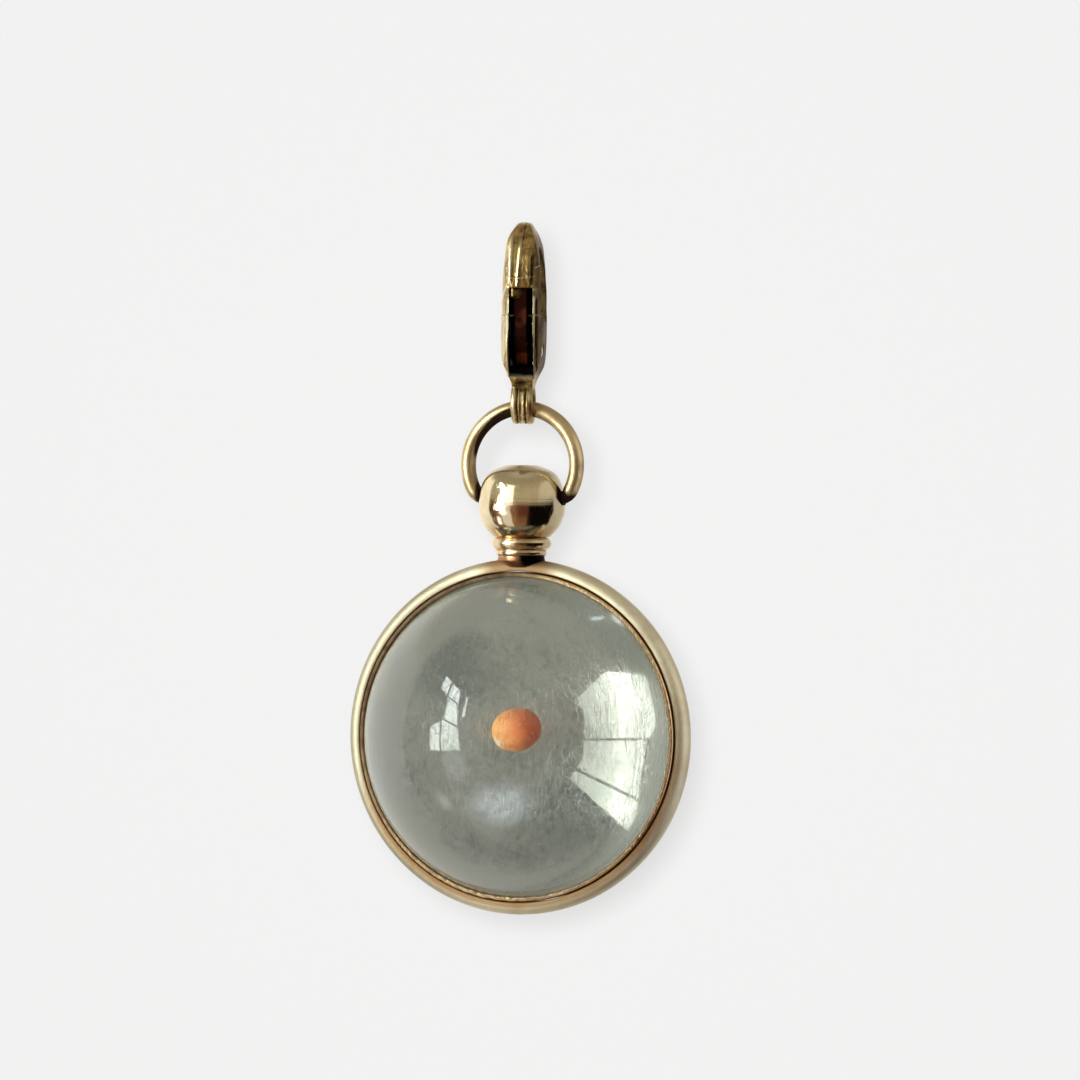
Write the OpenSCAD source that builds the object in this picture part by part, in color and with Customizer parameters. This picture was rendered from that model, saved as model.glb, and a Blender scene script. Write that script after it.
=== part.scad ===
/* [Clasp] */
// Thickness of the hook at the top of its arch
hook_thickness = 1.7; // [1.4:0.1:1.9]
// Inside radius of the hook
hook_inner_r = 1.5; // [1.3:0.05:1.6]
// Depth of the claw from its gate side to its back
claw_depth = 6.2; // [6:0.1:6.6]
// Greatest thickness across the two cheeks
claw_thickness = 2.85; // [2.75:0.05:3.2]
// Width of the flat crest along the outside of the hook
crest_width = 1.2; // [0.9:0.05:1.3]
// Height of the hole in the hook, from the arch down to the cheeks
hook_opening_h = 5.0; // [4.8:0.1:5.2]
// Distance from the inside of the hook down to the foot of the claw
claw_drop = 9.35; // [9.2:0.05:9.5]
// Width of the slot that the lever works in
slot_width = 1.5; // [1.4:0.05:1.7]
// Twist of the clasp about the vertical, against the plane of the bow, in degrees
clasp_twist = 12; // [0:1:15]

/* [Lever] */
// Width of the gate's arm between its head and its hub
gate_width = 0.9; // [0.7:0.05:1.1]
// Thickness of the gate from front to back
gate_thickness = 0.85; // [0.7:0.05:0.95]
// Radius of the rivet that the lever turns on
rivet_r = 0.45; // [0.4:0.01:0.5]
// Radius of the lever's hub round the rivet
hub_r = 0.95; // [0.85:0.05:1]
// Clear space round a part that turns
running_gap = 0.05; // [0.03:0.01:0.06]

/* [Eye and bow] */
// Radius of the hole in the clasp's eye
eye_hole_r = 0.92; // [0.9:0.01:0.95]
// Thickness of the metal round that hole
eye_rim = 0.48; // [0.4:0.02:0.5]
// Diameter of the bow's wire
bow_wire = 1.0; // [0.9:0.02:1.04]
// Radius of the bow, to the middle of its wire
bow_r = 3.78; // [3.7:0.02:3.9]
// Radius of the bend where each end of the bow turns in to the knob
bow_bend_r = 0.9; // [0.8:0.05:1]
// Angle below level at which that bend starts, in degrees
bow_bend_start = 25; // [22:1:28]
// Radius of the peg at each end of the bow
peg_r = 0.4; // [0.35:0.01:0.42]

/* [Knob and neck] */
// Height of the turned knob
knob_h = 4.77; // [4.6:0.01:4.9]
// Radius of the bead under the knob
bead_r = 2.0; // [1.95:0.05:2.1]
// Height of that bead
bead_h = 0.88; // [0.8:0.02:0.94]
// Radius of the neck
neck_r = 1.7; // [1.6:0.05:1.75]
// Radius of the small hole in the top of the knob
top_hole_r = 0.3; // [0.2:0.05:0.4]

/* [Band and glass] */
// Radius of the band's outside
band_r = 11.85; // [11.75:0.05:12]
// Radius of the band's rounded section
band_round = 0.66; // [0.6:0.01:0.7]
// Half of the band's depth from front to back
band_half_depth = 0.78; // [0.7:0.01:0.9]
// Half of the bezel's depth from front to back
bezel_half_depth = 0.97; // [0.9:0.01:1.02]
// Radius of the glass where the bezel's lips meet it
glass_r = 10.6; // [10.56:0.01:10.62]
// Radius of the high dome on the front of the glass
front_dome_r = 11.0; // [10.9:0.1:12]
// Radius of the shallow dome on the back of the glass
back_dome_r = 36; // [30:1:60]
// Length of the seed
seed_length = 2.6; // [2.2:0.1:2.8]
// Thickness of the seed
seed_width = 2.1; // [1.8:0.1:2.2]
// Tilt of the seed's long axis, its right end up, in degrees
seed_tilt = 15; // [0:1:30]
// Height of the seed's middle above the middle of the disc
seed_rise = 0.33; // [0:0.01:0.6]

/* [Hidden] */
$fn = 96;

gold_pale = [0.85, 0.78, 0.58];
gold_brass = [0.68, 0.56, 0.33];
gold_copper = [0.62, 0.42, 0.24];
glass_grey = [0.72, 0.75, 0.70, 0.45];
seed_amber = [0.85, 0.42, 0.18];

// Small clear space between two pieces that are fixed together
seat_gap = 0.04;
// More than the depth of any piece, for cuts that go right through
through = 30;
// Extra length of a cut past the surface that it opens
cut_over = 1;
// Depth by which two shapes of one solid run into each other
overlap = 0.1;
// Steps of a smoothed outline between two rows of its table
smooth_steps = 4;

// Claw, in its own plane: second value up, first value from the gate side (minus) to the back (plus)
claw_half = claw_depth / 2;
arch_z = hook_thickness - claw_half;
claw_foot_half = 0.85;
side_pull_z = -4.9;
foot_pull_z = -7.7;
foot_pull_inset = 0.1;
arch_steps = 32;
side_steps = 14;
crest_half = crest_width / 2;
cheek_flat_half = 0.8;
shoulder_run = claw_half - cheek_flat_half;
shoulder_drop = claw_thickness / 2 - crest_half;
shoulder_r = (shoulder_run * shoulder_run + shoulder_drop * shoulder_drop) / (2 * shoulder_drop);
// Front outline of the claw: [height above the inside of the hook, share of the greatest thickness]
claw_front = [
    [hook_thickness, 0.30],
    [1.20, 0.45],
    [0.37, 0.67],
    [-1.27, 0.83],
    [-3.80, 0.97],
    [-5.40, 1.00],
    [-7.20, 0.93],
    [-8.00, 0.79],
    [-8.70, 0.57],
    [-claw_drop, 0.48]
];
tip_z = -1.95;
lip_thickness = 0.45;
mouth_bottom_z = -4.6;
slot_top_z = -2.8;
slot_bottom_z = -8.45;
spine_wall = 0.6;
window_top_z = -4.9;
window_bottom_z = -8.15;
window_front_u = 0.6;
pocket_back_u = -1.5;

// Lever, in the same plane
pivot_u = -0.9;
pivot_z = -6.9;
gate_front_u = lip_thickness + running_gap - claw_half;
gate_back_u = gate_front_u + gate_thickness;
gate_top_z = -1.5;
gate_reach = norm([gate_front_u - pivot_u, gate_top_z - pivot_z]);
mouth_reach = norm([lip_thickness - claw_half - pivot_u, tip_z - pivot_z]);
head_reach = mouth_reach - running_gap;
hub_width = slot_width - 4 * running_gap;
thumb_reach = 0.15;
thumb_u = claw_half + thumb_reach;
thumb_z = -5.45;
thumb_r = 0.5;
arm_thickness = 0.8;
hub_back_angle = 45;
hub_front_angle = 30;
rivet_end_gap = 0.08;
hub_floor_z = pivot_z - hub_r - 2 * running_gap;

// Eye and bow
eye_lobe_inner_x = 0.2;
eye_lobe_outer_x = 0.5;
eye_rim_sides = 32;
wire_r = bow_wire / 2;
bow_top_z = -10.69;
bow_centre_z = bow_top_z - bow_r;
eye_wire_gap = 0.1;
eye_z = bow_top_z - wire_r - eye_wire_gap + eye_hole_r;
bend_x = (bow_r - bow_bend_r) * cos(bow_bend_start);
bend_z = bow_centre_z - (bow_r - bow_bend_r) * sin(bow_bend_start);
knob_pivot_z = bend_z - bow_bend_r;
peg_inner_x = 1.9;
peg_outer_x = 3.1;
wire_sides = 16;
bow_steps = 44;
bend_steps = 7;

// Knob and neck
knob_top_z = -14.5;
knob_bottom_z = knob_top_z - knob_h;
// Outline of the knob: [distance below its top, radius]
knob_outline = [
    [0.00, 1.00],
    [0.17, 1.50],
    [0.45, 2.10],
    [0.90, 2.50],
    [1.50, 2.77],
    [2.30, 2.87],
    [3.05, 2.90],
    [3.65, 2.73],
    [4.20, 2.45],
    [knob_h, 1.90]
];
top_hole_depth = 1;
peg_hole_outer_x = 4.14;
// Farthest that the knob reaches from the middle of its pivots, beside the bow's ends
bow_end_r = 3.02;
bead_z = knob_bottom_z - bead_h / 2;
bead_sides = 48;
band_centre_z = -32.59;
band_top_z = band_centre_z + band_r;
neck_foot_r = 1.55;
neck_foot_h = 0.25;
solder_r = 0.95;
solder_depth = 0.5;

// Band, bezel and glass: radius from the middle of the disc, depth along Y
band_centre_r = band_r - band_round;
band_side_y = band_half_depth - band_round;
band_bore_r = 11.02;
bezel_outer_r = band_bore_r - seat_gap;
bezel_lip_outer_r = 10.86;
bezel_step_y = 0.42;
bezel_chamfer_r = 0.06;
bezel_chamfer_y = 0.1;
girdle_under_lip = 0.12;
girdle_r = glass_r + girdle_under_lip;
glass_edge_inset = 0.02;
front_edge_y = bezel_half_depth - glass_edge_inset;
back_edge_y = 0.55;
back_lip_inner_r = 10.45;
front_dome_y = front_edge_y - dome_reach(front_dome_r, glass_r);
back_dome_y = dome_reach(back_dome_r, glass_r) - back_edge_y;
front_girdle_y = front_dome_y + dome_reach(front_dome_r, girdle_r);

// Seed: steps of its outline from end to end, and sides round it
seed_steps = 16;
seed_sides = 48;

// Distance from the middle of a dome's sphere to the level where the dome has a given radius
function dome_reach(dome, r) = sqrt(dome * dome - r * r);

// One point between the rows i and i + 1 of a table, on a smooth curve through all its rows
function curve_point(table, i, t) =
    let (
        a = table[max(i - 1, 0)],
        b = table[i],
        c = table[i + 1],
        d = table[min(i + 2, len(table) - 1)]
    )
    0.5 * (2 * b + (c - a) * t + (2 * a - 5 * b + 4 * c - d) * t * t
        + (3 * b - a - 3 * c + d) * t * t * t);

// All the points of that curve, from the first row to the last
function smooth_curve(table) = concat(
    [
        for (i = [0 : len(table) - 2])
            for (k = [0 : smooth_steps - 1])
                curve_point(table, i, k / smooth_steps)
    ],
    [table[len(table) - 1]]
);

// Points of an arc, ends included
function arc_points(centre, r, from, to, steps) = [
    for (k = [0 : steps])
        let (angle = from + (to - from) * k / steps)
        centre + r * [cos(angle), sin(angle)]
];

// Points of a curve drawn from a to d, pulled towards b and c, without its first point
function pulled_curve(a, b, c, d, steps) = [
    for (k = [1 : steps])
        let (t = k / steps, s = 1 - t)
        s * s * s * a + 3 * s * s * t * b + 3 * s * t * t * c + t * t * t * d
];

// Puts a flat shape (depth, height) upright in the plane of the claw, and gives it a width along X
module upright(width) {
    rotate([90, 0, 90]) linear_extrude(height = width, center = true) children();
}

// Spins a flat shape (radius, place along Y) about the Y axis through the middle of the disc
module about_disc_axis() {
    translate([0, 0, band_centre_z]) rotate([90, 0, 0]) rotate_extrude() children();
}

// Turns the clasp to hang as it does, a little out of the plane of the bow's axis
module hung_clasp() {
    rotate([0, 0, clasp_twist]) children();
}

// Outline of the claw seen from its side
module claw_side() {
    side_pull = [claw_half, side_pull_z];
    foot_pull = [claw_half - foot_pull_inset, foot_pull_z];
    foot = [claw_foot_half, -claw_drop];
    back = pulled_curve([claw_half, arch_z], side_pull, foot_pull, foot, side_steps);
    front = [for (i = [len(back) - 1 : -1 : 0]) [-back[i][0], back[i][1]]];
    arch = arc_points([0, arch_z], claw_half, 180, 0, arch_steps);
    polygon(concat(arch, back, front));
}

// Outline of the claw seen from its gate side
module claw_front_outline() {
    right = [for (p = smooth_curve(claw_front)) [p[1] * claw_thickness / 2, p[0]]];
    left = [for (i = [len(right) - 1 : -1 : 0]) [-right[i][0], right[i][1]]];
    polygon(concat(right, left));
}

// Solid claw, rounded over its cheeks, before its hole and slot are cut
module claw_blank() {
    intersection() {
        upright(claw_thickness + cut_over) claw_side();
        rotate([90, 0, 0]) linear_extrude(height = claw_depth + cut_over, center = true)
            claw_front_outline();
        cheek();
        mirror([1, 0, 0]) cheek();
    }
}

// Upright bar with one cheek of the claw on it: flat in the middle, rounded off to the crest and back
module cheek() {
    translate([0, 0, -through / 2]) linear_extrude(height = through) {
        for (u = [-cheek_flat_half, cheek_flat_half])
            translate([claw_thickness / 2 - shoulder_r, u]) circle(r = shoulder_r);
        translate([-claw_thickness / 2, -cheek_flat_half])
            square([claw_thickness, 2 * cheek_flat_half]);
    }
}

// Hole of the hook with the mouth that the gate closes
module hook_opening() {
    low_z = hook_inner_r - hook_opening_h;
    translate([0, -hook_inner_r]) circle(r = hook_inner_r);
    translate([0, low_z]) circle(r = hook_inner_r);
    translate([-hook_inner_r, low_z]) square([2 * hook_inner_r, -hook_inner_r - low_z]);
    intersection() {
        translate([pivot_u, pivot_z]) circle(r = mouth_reach);
        translate([-claw_half - cut_over, mouth_bottom_z])
            square([cut_over + lip_thickness, tip_z - mouth_bottom_z]);
    }
    intersection() {
        translate([pivot_u, pivot_z]) circle(r = gate_reach + running_gap);
        translate([lip_thickness - claw_half, mouth_bottom_z])
            square([claw_half - lip_thickness, -mouth_bottom_z]);
    }
}

// Slot for the lever: a pocket open to the gate side, the hub's room, and the thumb piece's window
module lever_slot() {
    translate([-claw_half - cut_over, slot_bottom_z])
        square([claw_half + cut_over + pocket_back_u, slot_top_z - slot_bottom_z]);
    translate([pocket_back_u - overlap, hub_floor_z])
        square([claw_half - spine_wall - pocket_back_u + overlap, slot_top_z - hub_floor_z]);
    translate([window_front_u, window_bottom_z])
        square([claw_half, window_top_z - window_bottom_z]);
}

// Double-lobed eye, which the bow's wire passes through
module eye() {
    translate([0, 0, eye_z]) rotate([0, 90, 0]) rotate_extrude() {
        for (x = [-eye_lobe_outer_x, -eye_lobe_inner_x, eye_lobe_inner_x, eye_lobe_outer_x])
            translate([eye_hole_r + eye_rim / 2, x]) circle(r = eye_rim / 2, $fn = eye_rim_sides);
        for (x = [-eye_lobe_outer_x, eye_lobe_inner_x])
            translate([eye_hole_r, x]) square([eye_rim, eye_lobe_outer_x - eye_lobe_inner_x]);
    }
}

module clasp_body() {
    color(gold_brass) hung_clasp() {
        difference() {
            claw_blank();
            upright(claw_thickness + cut_over) hook_opening();
            upright(slot_width) lever_slot();
            translate([0, pivot_u, pivot_z]) rotate([0, 90, 0])
                cylinder(h = claw_thickness + cut_over, r = rivet_r + running_gap / 2, center = true);
            translate([0, 0, eye_z]) rotate([0, 90, 0])
                cylinder(h = claw_thickness + cut_over, r = eye_hole_r, center = true);
        }
        eye();
    }
}

// Side of the gate's head: a face flush with the claw's lip, and a longer part that goes in behind it
module gate_head_side() {
    head_bottom_z = mouth_bottom_z + running_gap;
    intersection() {
        translate([pivot_u, pivot_z]) circle(r = head_reach);
        translate([-claw_half - cut_over, head_bottom_z])
            square([cut_over + claw_half + gate_back_u, -head_bottom_z]);
    }
    intersection() {
        translate([pivot_u, pivot_z]) circle(r = gate_reach);
        translate([gate_front_u, head_bottom_z]) square([gate_thickness, -head_bottom_z]);
    }
}

// Head of the gate, which fills the mouth flush with the claw and carries on its slot
module gate_head() {
    difference() {
        intersection() {
            claw_blank();
            upright(claw_thickness + cut_over) gate_head_side();
        }
        upright(slot_width) translate([-claw_half - cut_over, mouth_bottom_z])
            square([cut_over + claw_half + gate_front_u, slot_top_z - mouth_bottom_z]);
    }
}

module clasp_lever() {
    color(gold_copper) hung_clasp() difference() {
        union() {
            gate_head();
            upright(gate_width) {
                intersection() {
                    translate([pivot_u, pivot_z]) circle(r = gate_reach);
                    polygon([
                        [gate_front_u, 0],
                        [gate_back_u, 0],
                        [gate_back_u, pivot_z + 2 * hub_r],
                        [pivot_u + hub_r * sin(hub_back_angle), pivot_z + hub_r * cos(hub_back_angle)],
                        [pivot_u - hub_r * sin(hub_front_angle), pivot_z - hub_r * cos(hub_front_angle)],
                        [gate_front_u, pivot_z + hub_r]
                    ]);
                }
                polygon([
                    [pivot_u, pivot_z + hub_r],
                    [thumb_u, thumb_z + arm_thickness / 2],
                    [thumb_u, thumb_z - arm_thickness / 2],
                    [pivot_u + hub_r * cos(hub_front_angle), pivot_z - hub_r * sin(hub_front_angle)]
                ]);
                translate([thumb_u, thumb_z]) circle(r = thumb_r);
            }
            translate([0, pivot_u, pivot_z]) rotate([0, 90, 0])
                cylinder(h = hub_width, r = hub_r, center = true);
        }
        translate([0, pivot_u, pivot_z]) rotate([0, 90, 0])
            cylinder(h = claw_thickness, r = rivet_r + running_gap, center = true);
    }
}

module clasp_rivet() {
    rivet_length = claw_thickness - 2 * rivet_end_gap;
    color(gold_pale) hung_clasp() translate([0, pivot_u, pivot_z]) rotate([0, 90, 0])
        cylinder(h = rivet_length, r = rivet_r, center = true);
}

// Middle line of the bow's wire, from its left end to its right: [across, up, way from its bend's middle]
function bow_path() = concat(
    [
        for (k = [0 : bend_steps - 1])
            let (way = 270 - (90 - bow_bend_start) * k / bend_steps)
            [bow_bend_r * cos(way) - bend_x, bend_z + bow_bend_r * sin(way), way]
    ],
    [
        for (k = [0 : bow_steps])
            let (way = 180 + bow_bend_start - (180 + 2 * bow_bend_start) * k / bow_steps)
            [bow_r * cos(way), bow_centre_z + bow_r * sin(way), way]
    ],
    [
        for (k = [1 : bend_steps])
            let (way = -bow_bend_start - (90 - bow_bend_start) * k / bend_steps)
            [bow_bend_r * cos(way) + bend_x, bend_z + bow_bend_r * sin(way), way]
    ]
);

// Round wire swept along a path that lies in the plane of X and Z
module swept_wire(path, r, sides) {
    last = len(path) - 1;
    points = [
        for (p = path)
            for (s = [0 : sides - 1])
                let (out = r * cos(360 * s / sides), deep = r * sin(360 * s / sides))
                [p[0] + out * cos(p[2]), deep, p[1] + out * sin(p[2])]
    ];
    walls = [
        for (i = [0 : last - 1])
            for (s = [0 : sides - 1])
                let (next = (s + 1) % sides)
                [i * sides + next, (i + 1) * sides + next, (i + 1) * sides + s, i * sides + s]
    ];
    first_end = [for (s = [sides - 1 : -1 : 0]) s];
    last_end = [for (s = [0 : sides - 1]) last * sides + s];
    polyhedron(points = points, faces = concat([first_end], walls, [last_end]));
}

module bow() {
    color(gold_brass) {
        difference() {
            swept_wire(bow_path(), wire_r, wire_sides);
            translate([0, 0, knob_pivot_z]) sphere(r = bow_end_r);
        }
        for (side = [-1, 1])
            translate([side * (peg_inner_x + peg_outer_x) / 2, 0, knob_pivot_z]) rotate([0, 90, 0])
                cylinder(h = peg_outer_x - peg_inner_x, r = peg_r, center = true);
    }
}

// Turned knob, spun from its outline
module knob() {
    outline = [for (p = smooth_curve(knob_outline)) [p[1], knob_top_z - p[0]]];
    rotate_extrude() polygon(concat([[0, knob_top_z]], outline, [[0, knob_bottom_z]]));
}

// Bead, neck and solder between the knob and the band
module neck() {
    translate([0, 0, bead_z]) rotate_extrude()
        translate([bead_r - bead_h / 2, 0]) circle(r = bead_h / 2, $fn = bead_sides);
    bead_core_r = bead_r - bead_h / 2;
    translate([0, 0, bead_z - bead_h / 2]) cylinder(h = bead_h + overlap, r = bead_core_r);
    neck_top_z = bead_z - bead_h / 4;
    foot_top_z = band_top_z + neck_foot_h;
    translate([0, 0, foot_top_z]) cylinder(h = neck_top_z - foot_top_z, r = neck_r);
    foot_bottom_z = band_top_z - overlap;
    translate([0, 0, foot_bottom_z]) cylinder(h = neck_foot_h + 2 * overlap, r = neck_foot_r);
    translate([0, 0, foot_bottom_z - solder_depth])
        cylinder(h = solder_depth, r1 = solder_r, r2 = neck_foot_r);
}

// Band of rounded section round the glass
module band() {
    about_disc_axis() difference() {
        union() {
            for (y = [-band_side_y, band_side_y])
                translate([band_centre_r, y]) circle(r = band_round);
            translate([band_centre_r, -band_side_y]) square([band_round, 2 * band_side_y]);
        }
        translate([0, -through / 2]) square([band_bore_r, through]);
    }
}

module case() {
    color(gold_pale) difference() {
        union() {
            knob();
            neck();
            band();
        }
        peg_hole_inner_x = peg_inner_x - seat_gap;
        peg_hole_length = peg_hole_outer_x - peg_hole_inner_x;
        for (side = [-1, 1])
            translate([side * (peg_hole_inner_x + peg_hole_outer_x) / 2, 0, knob_pivot_z])
                rotate([0, 90, 0])
                    cylinder(h = peg_hole_length, r = peg_r + seat_gap, center = true);
        translate([0, 0, knob_top_z - top_hole_depth])
            cylinder(h = top_hole_depth + cut_over, r = top_hole_r);
        translate([0, 0, band_centre_z]) rotate([90, 0, 0])
            cylinder(h = through, r = band_bore_r, center = true);
    }
}

// Thin ring in the band, whose two lips close on the edge of the glass: [radius, way to the front]
module bezel() {
    girdle_clear_r = girdle_r + seat_gap;
    front_lip_inner_r = dome_reach(front_dome_r, bezel_half_depth - front_dome_y) + seat_gap;
    back_lip_under_y = dome_reach(back_dome_r, back_lip_inner_r) - back_dome_y + seat_gap;
    back_girdle_y = dome_reach(back_dome_r, girdle_clear_r) - back_dome_y + seat_gap;
    section = [
        [girdle_clear_r, -back_girdle_y],
        [girdle_clear_r, front_girdle_y],
        [front_lip_inner_r, bezel_half_depth],
        [bezel_lip_outer_r - bezel_chamfer_r, bezel_half_depth],
        [bezel_lip_outer_r, bezel_half_depth - bezel_chamfer_y],
        [bezel_lip_outer_r, bezel_step_y],
        [bezel_outer_r, bezel_step_y],
        [bezel_outer_r, -bezel_step_y],
        [bezel_lip_outer_r, -bezel_step_y],
        [bezel_lip_outer_r, bezel_chamfer_y - bezel_half_depth],
        [bezel_lip_outer_r - bezel_chamfer_r, -bezel_half_depth],
        [back_lip_inner_r, -bezel_half_depth],
        [back_lip_inner_r, -back_lip_under_y]
    ];
    color(gold_copper) about_disc_axis() polygon(section);
}

// Spheroid of a given length and width along the seed's long axis
module seed_shape(length, width) {
    half = [
        for (k = [0 : seed_steps])
            let (angle = 90 - 180 * k / seed_steps)
            [width / 2 * cos(angle), length / 2 * sin(angle)]
    ];
    translate([0, 0, band_centre_z + seed_rise]) rotate([0, -seed_tilt, 0]) rotate([0, 90, 0])
        rotate_extrude($fn = seed_sides) polygon(half);
}

module glass_orb() {
    color(glass_grey) difference() {
        intersection() {
            translate([0, 0, band_centre_z]) rotate([90, 0, 0])
                cylinder(h = through, r = girdle_r, center = true);
            translate([0, -front_dome_y, band_centre_z]) sphere(r = front_dome_r);
            translate([0, -back_dome_y, band_centre_z]) sphere(r = back_dome_r);
        }
        seed_shape(seed_length + 2 * seat_gap, seed_width + 2 * seat_gap);
    }
}

module seed() {
    color(seed_amber) seed_shape(seed_length, seed_width);
}

clasp_body();
clasp_lever();
clasp_rivet();
bow();
case();
bezel();
glass_orb();
seed();
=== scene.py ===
from math import acos, asin, cos, exp, pi, radians, sin, sqrt

import bmesh
import bpy
import numpy as np
from mathutils import Matrix, Vector, noise


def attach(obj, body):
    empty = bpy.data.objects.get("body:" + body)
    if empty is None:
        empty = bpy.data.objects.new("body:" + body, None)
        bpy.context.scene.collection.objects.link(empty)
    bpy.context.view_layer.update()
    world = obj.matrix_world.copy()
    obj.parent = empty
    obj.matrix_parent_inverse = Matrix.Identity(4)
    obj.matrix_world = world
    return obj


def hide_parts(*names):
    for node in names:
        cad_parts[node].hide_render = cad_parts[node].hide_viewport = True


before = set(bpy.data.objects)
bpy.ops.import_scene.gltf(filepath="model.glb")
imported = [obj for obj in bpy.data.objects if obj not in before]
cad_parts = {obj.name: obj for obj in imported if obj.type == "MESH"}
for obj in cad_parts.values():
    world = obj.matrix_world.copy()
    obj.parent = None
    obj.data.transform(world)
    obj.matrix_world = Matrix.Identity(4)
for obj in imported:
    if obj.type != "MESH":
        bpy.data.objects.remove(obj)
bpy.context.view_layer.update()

MM = 0.001

# Camera.  It looks at the charm level and about 17 degrees round to its right, from a third of a
# metre away, and fifteen pixels of the photograph's frame are one millimetre at the charm.
photo_side_px = 1080
px_per_mm = 15.0
hanging_line_px = 521.5
hook_inside_px = 248.0
camera_round, camera_lean = radians(17.5), radians(0.7)
camera_away = 0.35
sensor_mm = 36.0

to_right = Vector((cos(camera_round), sin(camera_round), 0))
to_camera = Vector((sin(camera_round), -cos(camera_round), 0))
frame_width = photo_side_px / px_per_mm * MM
aim = to_right * (photo_side_px / 2 - hanging_line_px) / px_per_mm * MM
aim.z = (hook_inside_px - photo_side_px / 2) / px_per_mm * MM
camera_data = bpy.data.cameras.new("photo_camera")
camera_data.sensor_width = sensor_mm
camera_data.lens = sensor_mm * camera_away / frame_width
camera_data.clip_start, camera_data.clip_end = 0.01, 10.0
camera = bpy.data.objects.new("photo_camera", camera_data)
bpy.context.scene.collection.objects.link(camera)
camera_turn = Matrix((to_right, Vector((0, 0, 1)), to_camera)).transposed().to_4x4()
camera.matrix_world = (
    Matrix.Translation(aim + to_camera * camera_away) @ camera_turn @ Matrix.Rotation(camera_lean, 4, "Z")
)
bpy.context.scene.camera = camera
bpy.context.scene.view_settings.view_transform = "Standard"


# Studio.  A pale sheet hangs well behind the charm and sweeps forward as the floor under it.  A small
# lamp beside the camera lights only the sheet, and throws the charm's faint shadow down and right.
# Two soft boxes light only metal pieces: one the knob and neck, the other the bow, band and bezel.
def new_node(tree, kind, **settings):
    """A new shader node of a kind, with its settings by name."""
    node = tree.nodes.new("ShaderNode" + kind)
    for name, value in settings.items():
        setattr(node, name, value)
    return node


def fill(socket, value):
    """Joins a node's input to another node's output, or gives it a plain value."""
    if isinstance(value, bpy.types.NodeSocket):
        socket.id_data.links.new(value, socket)
    else:
        socket.default_value = value


def feed(node, **inputs):
    """Fills a node's inputs by name, with a low line for each space, and returns the node."""
    for name, value in inputs.items():
        fill(node.inputs[name.replace("_", " ")], value)
    return node


def empty_tree(block):
    """The node tree of a material or world, without its first nodes."""
    block.use_nodes = True
    block.node_tree.nodes.clear()
    return block.node_tree


def link_piece(name, mesh, *materials):
    """A new object in the scene from a finished mesh."""
    piece = bpy.data.objects.new(name, mesh)
    bpy.context.scene.collection.objects.link(piece)
    mesh.materials.clear()
    for material in materials:
        mesh.materials.append(material)
    return piece


def mesh_from(shape, name):
    """The finished mesh of a bmesh."""
    mesh = bpy.data.meshes.new(name)
    shape.to_mesh(mesh)
    shape.free()
    return mesh


sheet_behind, sheet_below, sheet_half_width = 0.32, 0.32, 0.9
sheet_top, sheet_reach, cove_radius, cove_steps = 0.7, 1.1, 0.16, 16
sheet_line = [(sheet_behind, sheet_top)]
for step in range(cove_steps + 1):
    angle = pi / 2 * step / cove_steps
    sheet_line.append((
        sheet_behind - cove_radius + cove_radius * cos(angle),
        -sheet_below + cove_radius - cove_radius * sin(angle),
    ))
sheet_line.append((sheet_behind - cove_radius - sheet_reach, -sheet_below))
shape = bmesh.new()
rows = [[
    shape.verts.new(to_right * side * sheet_half_width - to_camera * back + Vector((0, 0, height)))
    for side in (-1, -0.5, 0, 0.5, 1)
] for back, height in sheet_line]
for upper, lower in zip(rows, rows[1:]):
    for k in range(4):
        shape.faces.new((upper[k], lower[k], lower[k + 1], upper[k + 1])).smooth = True

paper = bpy.data.materials.new("pale_paper")
tree = empty_tree(paper)
paper_white, paper_glow_strength, paper_grey = (1, 1, 1, 1), 0.70, (0.05, 0.05, 0.05, 1)
paper_glow = feed(new_node(tree, "Emission"), Color=paper_white, Strength=paper_glow_strength)
paper_face = feed(new_node(tree, "BsdfDiffuse"), Color=paper_grey)
paper_sum = new_node(tree, "AddShader")
fill(paper_sum.inputs[0], paper_glow.outputs[0])
fill(paper_sum.inputs[1], paper_face.outputs[0])
feed(new_node(tree, "OutputMaterial"), Surface=paper_sum.outputs[0])
paper_sheet = link_piece("paper_sheet", mesh_from(shape, "paper_sheet"), paper)
for ray in ("diffuse", "glossy", "transmission", "volume_scatter"):
    setattr(paper_sheet, "visible_" + ray, False)


def area_lamp(name, energy, place, turn, **settings):
    """An area lamp, and the new collection of the pieces that are all it lights."""
    data = bpy.data.lights.new(name, "AREA")
    data.energy = energy
    for setting, value in settings.items():
        setattr(data, setting, value)
    lamp = bpy.data.objects.new(name, data)
    bpy.context.scene.collection.objects.link(lamp)
    lamp.matrix_world = Matrix.Translation(place) @ turn
    lit = bpy.data.collections.new("lit_by_" + name)
    lamp.light_linking.receiver_collection = lit
    return lit


def soft_box(name, round_degrees, up_degrees, away, width, height, brightness):
    """A soft box, at an angle round and up from straight in front of the disc."""
    across, up = radians(round_degrees), radians(up_degrees)
    toward = Vector((sin(across) * cos(up), -cos(across) * cos(up), sin(up)))
    sideways = Vector((cos(across), sin(across), 0))
    return area_lamp(
        name, brightness * pi * width * height, toward * away + Vector((0, 0, aim.z)),
        Matrix((sideways, toward.cross(sideways), toward)).transposed().to_4x4(),
        shape="RECTANGLE", size=width, size_y=height,
    )


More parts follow.
